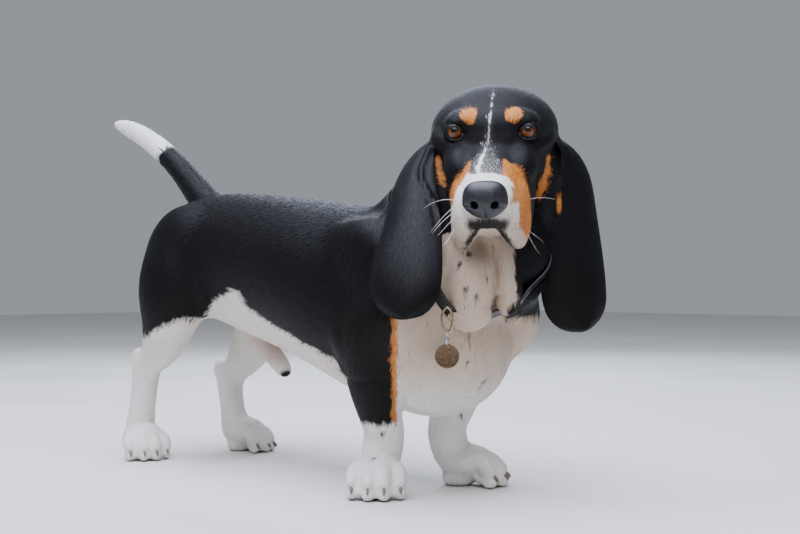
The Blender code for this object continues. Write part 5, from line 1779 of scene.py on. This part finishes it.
def collar_pieces(skin, colours):
    """The strap with raised edges and a row of stitches along each."""
    flat = list(skin["strap_seat"])
    fine = list(refined([Vector(flat[k:k + 3]) for k in range(0, len(flat), 3)], 2))
    half, thick = COLLAR_WIDTH / 2, COLLAR_THICK / 2
    rings = [[p + wide * (a * half) + out * (b * thick) for a, b in STRAP_SECTION]
             for p, out, wide, _ in strap_frames(fine)]
    strap = baked(subdivided(shell("collar_strap", rings, ends="looped"), 1))
    finished(strap, plain_material("collar_leather", colours.strap, 0.36, 0.0, 0.0016, 0.00012))
    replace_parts(strap, "collar")
    stitches = []
    walked = 0.0
    frames = list(strap_frames(fine))
    for i, (p, out, wide, along) in enumerate(frames):
        q = frames[(i + 1) % len(frames)][0]
        span = (q - p).length
        while walked < span:
            at = p.lerp(q, walked / span)
            for edge in (-1, 1):
                middle = at + wide * (edge * half * 0.72) + out * (thick * 0.80)
                stitches.append([middle - along * STITCH_HALF - out * 0.0003, middle + out * 0.00025,
                                 middle + along * STITCH_HALF - out * 0.0003])
            walked += STITCH_PITCH
        walked -= span
    tubes = [tube("stitch", path, [0.0002, 0.00032, 0.0002], sides=6) for path in stitches]
    seams = finished(together(tubes, "collar_stitches"),
                     plain_material("waxed_thread", colours.thread, 0.6, 0.0, 0.0006, 0.00005))
    return [(strap, "collar"), (seams, "collar")]


def hanging(point, yaw):
    """A frame at a point: +Z looks out level at yaw degrees from +X, and +Y is up."""
    out = Vector((math.cos(math.radians(yaw)), math.sin(math.radians(yaw)), 0))
    up = Vector((0, 0, 1))
    return Matrix.Translation(point) @ Matrix((up.cross(out), up, out)).transposed().to_4x4()


def wire_ring(name, place, wide, tall, wire, material):
    """An oval ring of round wire, its hole facing along the frame's +Z."""
    ring = primitive("torus", name, major_segments=64, minor_segments=16, major_radius=1.0,
                     minor_radius=0.5)
    points = coords(ring.data)
    angle = np.arctan2(points[:, 1], points[:, 0])
    off = np.hypot(points[:, 0], points[:, 1]) - 1.0
    out = np.stack([np.cos(angle), np.sin(angle), np.zeros(len(angle))], 1)
    middle = out * np.array((wide, tall, 0))
    rise = np.array((0, 0, 1)) * (points[:, 2] * 2 * wire)[:, None]
    set_coords(ring.data, middle + out * (off * 2 * wire)[:, None] + rise)
    ring.matrix_world = place
    return finished(baked(ring), material)


def metal_pieces(colours):
    """The oval ring at the throat, the small link through it and the round tag, whose face is bare."""
    ring = wire_ring("throat_ring", hanging(RING_PLACE, RING_YAW), RING_WIDE * 0.38, RING_TALL / 2,
                     RING_WIRE * 0.85,
                     plain_material("worn_brass", colours.brass, 0.30, 1.0, 0.004, 0.00004, 0.75, 1.15))
    drop = RING_TALL / 2 - RING_WIRE - GAP + LINK_RADIUS - LINK_WIRE
    link_place = RING_PLACE - Vector((0, 0, drop))
    link = wire_ring("tag_link", hanging(link_place, RING_YAW + 90), LINK_RADIUS, LINK_RADIUS, LINK_WIRE,
                     plain_material("steel_wire", colours.steel, 0.26, 1.0, 0.004, 0.00003))
    eye_place = link_place - Vector((0, 0, LINK_RADIUS))
    face = hanging(eye_place - Vector((0, 0, TAG_EYE)), RING_YAW)
    tag = alone(primitive("cylinder", "round_tag", vertices=96, radius=TAG_RADIUS, depth=TAG_THICK))
    bpy.ops.object.mode_set(mode="EDIT")
    bm = bmesh.from_edit_mesh(tag.data)
    for f in bm.faces:
        f.select_set(abs(f.normal.z) > 0.9)
    bmesh.update_edit_mesh(tag.data)
    bpy.ops.mesh.inset(thickness=0.0011, use_individual=True)
    bpy.ops.mesh.inset(thickness=0.0003, depth=-0.00025, use_individual=True)
    bpy.ops.object.mode_set(mode="OBJECT")
    edge = tag.modifiers.new("Rim", "BEVEL")
    edge.width = 0.0003
    edge.segments = 2
    tag.data.transform(face)
    cutter = primitive("cylinder", "eye_cutter", hanging(eye_place, RING_YAW), vertices=32,
                       radius=2 * LINK_WIRE, depth=0.01)
    combined(baked(tag), cutter, "DIFFERENCE", "EXACT")
    alone(tag)
    bpy.ops.object.shade_smooth_by_angle(angle=math.radians(35))
    dress(settled(tag), plain_material("dull_bronze", colours.bronze, 0.38, 1.0, 0.003, 0.00005, 0.65, 1.2))
    made = [(ring, "collar_ring"), (link, "tag_ring"), (tag, "tag")]
    for piece, node in made:
        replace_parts(piece, node)
    return made


def coat_pieces(skin, sizes, colours):
    """The whole coat in pieces by the part of the hound, each under the most triangles of a piece."""
    skin.data.transform(Matrix.Translation(-SHIFT))
    t = tuft_arrays(skin, sizes, colours)
    skin.data.transform(Matrix.Translation(SHIFT))
    hair = coat_material()
    made = []
    for number, (part, node) in enumerate(COAT_PARTS):
        pick = np.flatnonzero(t["group"] == number)
        pick = pick[np.argsort(t["root"][pick, 0 if number in (0, 3, 4) else 1], kind="stable")]
        parts = -(-len(pick) // MOST_TUFTS)
        for k, chunk in enumerate(np.array_split(pick, parts)):
            piece = tuft_piece(f"coat_{part}_{k + 1}", t, chunk)
            made.append((dress(piece, hair), node))
    return made


def ridden(made):
    """Rides each piece on the hound."""
    for piece, slot in made:
        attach(piece, "root")


# Operators, one for each piece or group of like pieces

class HoundOperator(bpy.types.Operator):
    """Shared by the operators that make a piece."""
    bl_options = {"REGISTER", "UNDO"}

    def make(self, scene):
        """Makes the pieces and returns each with the node that it is paired with."""
        raise NotImplementedError

    def execute(self, context):
        made = self.make(context.scene)
        if not made:
            raise RuntimeError(self.bl_label + " made nothing")
        ridden(made)
        return {"FINISHED"}


class HOUND_OT_skin(HoundOperator):
    """Fuses the hound's forms to one skin, cuts the lids and the mouth, and paints the markings"""
    bl_idname = "hound.skin"
    bl_label = "Skin"

    def make(self, scene):
        skin = skin_form(scene.hound_sizes)
        alone(skin)
        bpy.ops.object.mode_set(mode="EDIT")
        bpy.ops.mesh.select_all(action="SELECT")
        bpy.ops.uv.smart_project(angle_limit=math.radians(66), island_margin=0.001)
        bpy.ops.object.mode_set(mode="OBJECT")
        skin.data.uv_layers[0].name = "unwrap"
        painted(skin, scene.hound_colours)
        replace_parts(finished(skin, skin_material()), *FLESH)
        return [(skin, "torso")]


class HOUND_OT_coat(HoundOperator):
    """Lays the short coat over the skin in small tufts that follow the lie of the hair"""
    bl_idname = "hound.coat"
    bl_label = "Coat"

    def make(self, scene):
        return coat_pieces(bpy.data.objects["skin"], scene.hound_sizes, scene.hound_colours)


class HOUND_OT_eyes(HoundOperator):
    """Adds the eyeballs, the edges of the lids and the haws"""
    bl_idname = "hound.eyes"
    bl_label = "Eyes"

    def make(self, scene):
        return eye_pieces(scene.hound_colours, scene.hound_sizes)


class HOUND_OT_nose(HoundOperator):
    """Adds the nose leather with its nostrils"""
    bl_idname = "hound.nose"
    bl_label = "Nose"

    def make(self, scene):
        return nose_piece(scene.hound_colours)


class HOUND_OT_claws(HoundOperator):
    """Adds the claws of all four paws"""
    bl_idname = "hound.claws"
    bl_label = "Claws"

    def make(self, scene):
        return claw_piece(scene.hound_colours)


class HOUND_OT_whiskers(HoundOperator):
    """Adds the whiskers of the lips and the brows"""
    bl_idname = "hound.whiskers"
    bl_label = "Whiskers"

    def make(self, scene):
        return whisker_piece()


class HOUND_OT_collar(HoundOperator):
    """Adds the collar's strap and its stitching"""
    bl_idname = "hound.collar"
    bl_label = "Collar"

    def make(self, scene):
        return collar_pieces(bpy.data.objects["skin"], scene.collar_colours)


class HOUND_OT_metal(HoundOperator):
    """Adds the ring at the throat, the link and the round tag"""
    bl_idname = "hound.metal"
    bl_label = "Ring and tag"

    def make(self, scene):
        return metal_pieces(scene.collar_colours)


CAMERA_PLACE = Vector((1.2625, -1.0962, 0.249))       # in the frame between the paws
PHOTO_WIDTH = 800                # pixels
FOCAL = 1259                     # the lens's focal length in the same pixels
CAMERA_RISE = 13                 # how far the level lies below the picture's middle, in the same pixels
SENSOR = 36.0                    # millimetres


class HOUND_OT_stage(bpy.types.Operator):
    """Sets the pale floor, the soft studio light and the camera"""
    bl_idname = "hound.stage"
    bl_label = "Stage"

    def execute(self, context):
        floor = primitive("plane", "floor", size=14)
        dress(floor, plain_material("pale_floor", linear("#d8d6d1"), 0.75, 0.0, 0.4, 0.0005, 0.97, 1.02))
        world = bpy.data.worlds.new("studio")
        world.use_nodes = True
        world.node_tree.nodes["Background"].inputs["Color"].default_value = (*linear("#dfe5ee"), 1.0)
        world.node_tree.nodes["Background"].inputs["Strength"].default_value = 0.42
        context.scene.world = world
        middle = Vector((0.1, 0.0, 0.25))
        for name, place, size, power, tint in (
                ("sky", (0.15, -0.55, 2.5), 2.8, 220, "#e2e9ff"),
                ("camera_side", (1.9, -1.5, 2.3), 1.4, 16, "#fff6ea"),
                ("back", (-1.3, 1.7, 1.5), 1.5, 42, "#dde8ff")):
            bpy.ops.object.light_add(type="AREA", location=place)
            lamp = context.object
            lamp.name = name
            lamp.data.size = size
            lamp.data.energy = power
            lamp.data.color = linear(tint)
            lamp.rotation_euler = (middle - Vector(place)).to_track_quat("-Z", "Y").to_euler()
        bpy.ops.object.camera_add()
        camera = context.object
        camera.name = "camera"
        camera.data.sensor_width = SENSOR
        camera.data.lens = FOCAL * SENSOR / PHOTO_WIDTH
        camera.data.clip_start = 0.05
        camera.location = CAMERA_PLACE + SHIFT
        level = Vector((-0.70, 0.715, 0)).normalized()
        pitch = math.atan(CAMERA_RISE / FOCAL)
        ahead = level * math.cos(pitch) + Vector((0, 0, 1)) * math.sin(pitch)
        camera.rotation_euler = ahead.to_track_quat("-Z", "Y").to_euler()
        context.scene.camera = camera
        return {"FINISHED"}


MAKERS = (HOUND_OT_skin, HOUND_OT_coat, HOUND_OT_eyes, HOUND_OT_nose, HOUND_OT_claws, HOUND_OT_whiskers,
          HOUND_OT_collar, HOUND_OT_metal, HOUND_OT_stage)


class HOUND_PT_panel(bpy.types.Panel):
    """The hound's sizes, colours and makers"""
    bl_idname = "HOUND_PT_panel"
    bl_label = "Basset hound"
    bl_space_type = "VIEW_3D"
    bl_region_type = "UI"
    bl_category = "Hound"

    def draw(self, context):
        for group in (context.scene.hound_sizes, context.scene.hound_colours, context.scene.collar_colours):
            for name in group.bl_rna.properties.keys():
                if name not in ("rna_type", "name"):
                    self.layout.prop(group, name)
        for maker in MAKERS:
            self.layout.operator(maker.bl_idname)


GROUPS = {"hound_sizes": HoundSizes, "hound_colours": HoundColours, "collar_colours": CollarColours}


def register():
    """Registers the groups, the operators and the panel."""
    for name, group in GROUPS.items():
        bpy.utils.register_class(group)
        setattr(bpy.types.Scene, name, bpy.props.PointerProperty(type=group))
    for maker in (*MAKERS, HOUND_PT_panel):
        bpy.utils.register_class(maker)


def unregister():
    """Takes back what register does."""
    for maker in reversed((*MAKERS, HOUND_PT_panel)):
        bpy.utils.unregister_class(maker)
    for name, group in GROUPS.items():
        delattr(bpy.types.Scene, name)
        bpy.utils.unregister_class(group)


def main():
    """Makes every piece in order."""
    register()
    bpy.ops.hound.skin()
    bpy.ops.hound.coat()
    bpy.ops.hound.eyes()
    bpy.ops.hound.nose()
    bpy.ops.hound.claws()
    bpy.ops.hound.whiskers()
    bpy.ops.hound.collar()
    bpy.ops.hound.metal()
    bpy.ops.hound.stage()


if __name__ == "__main__":
    main()
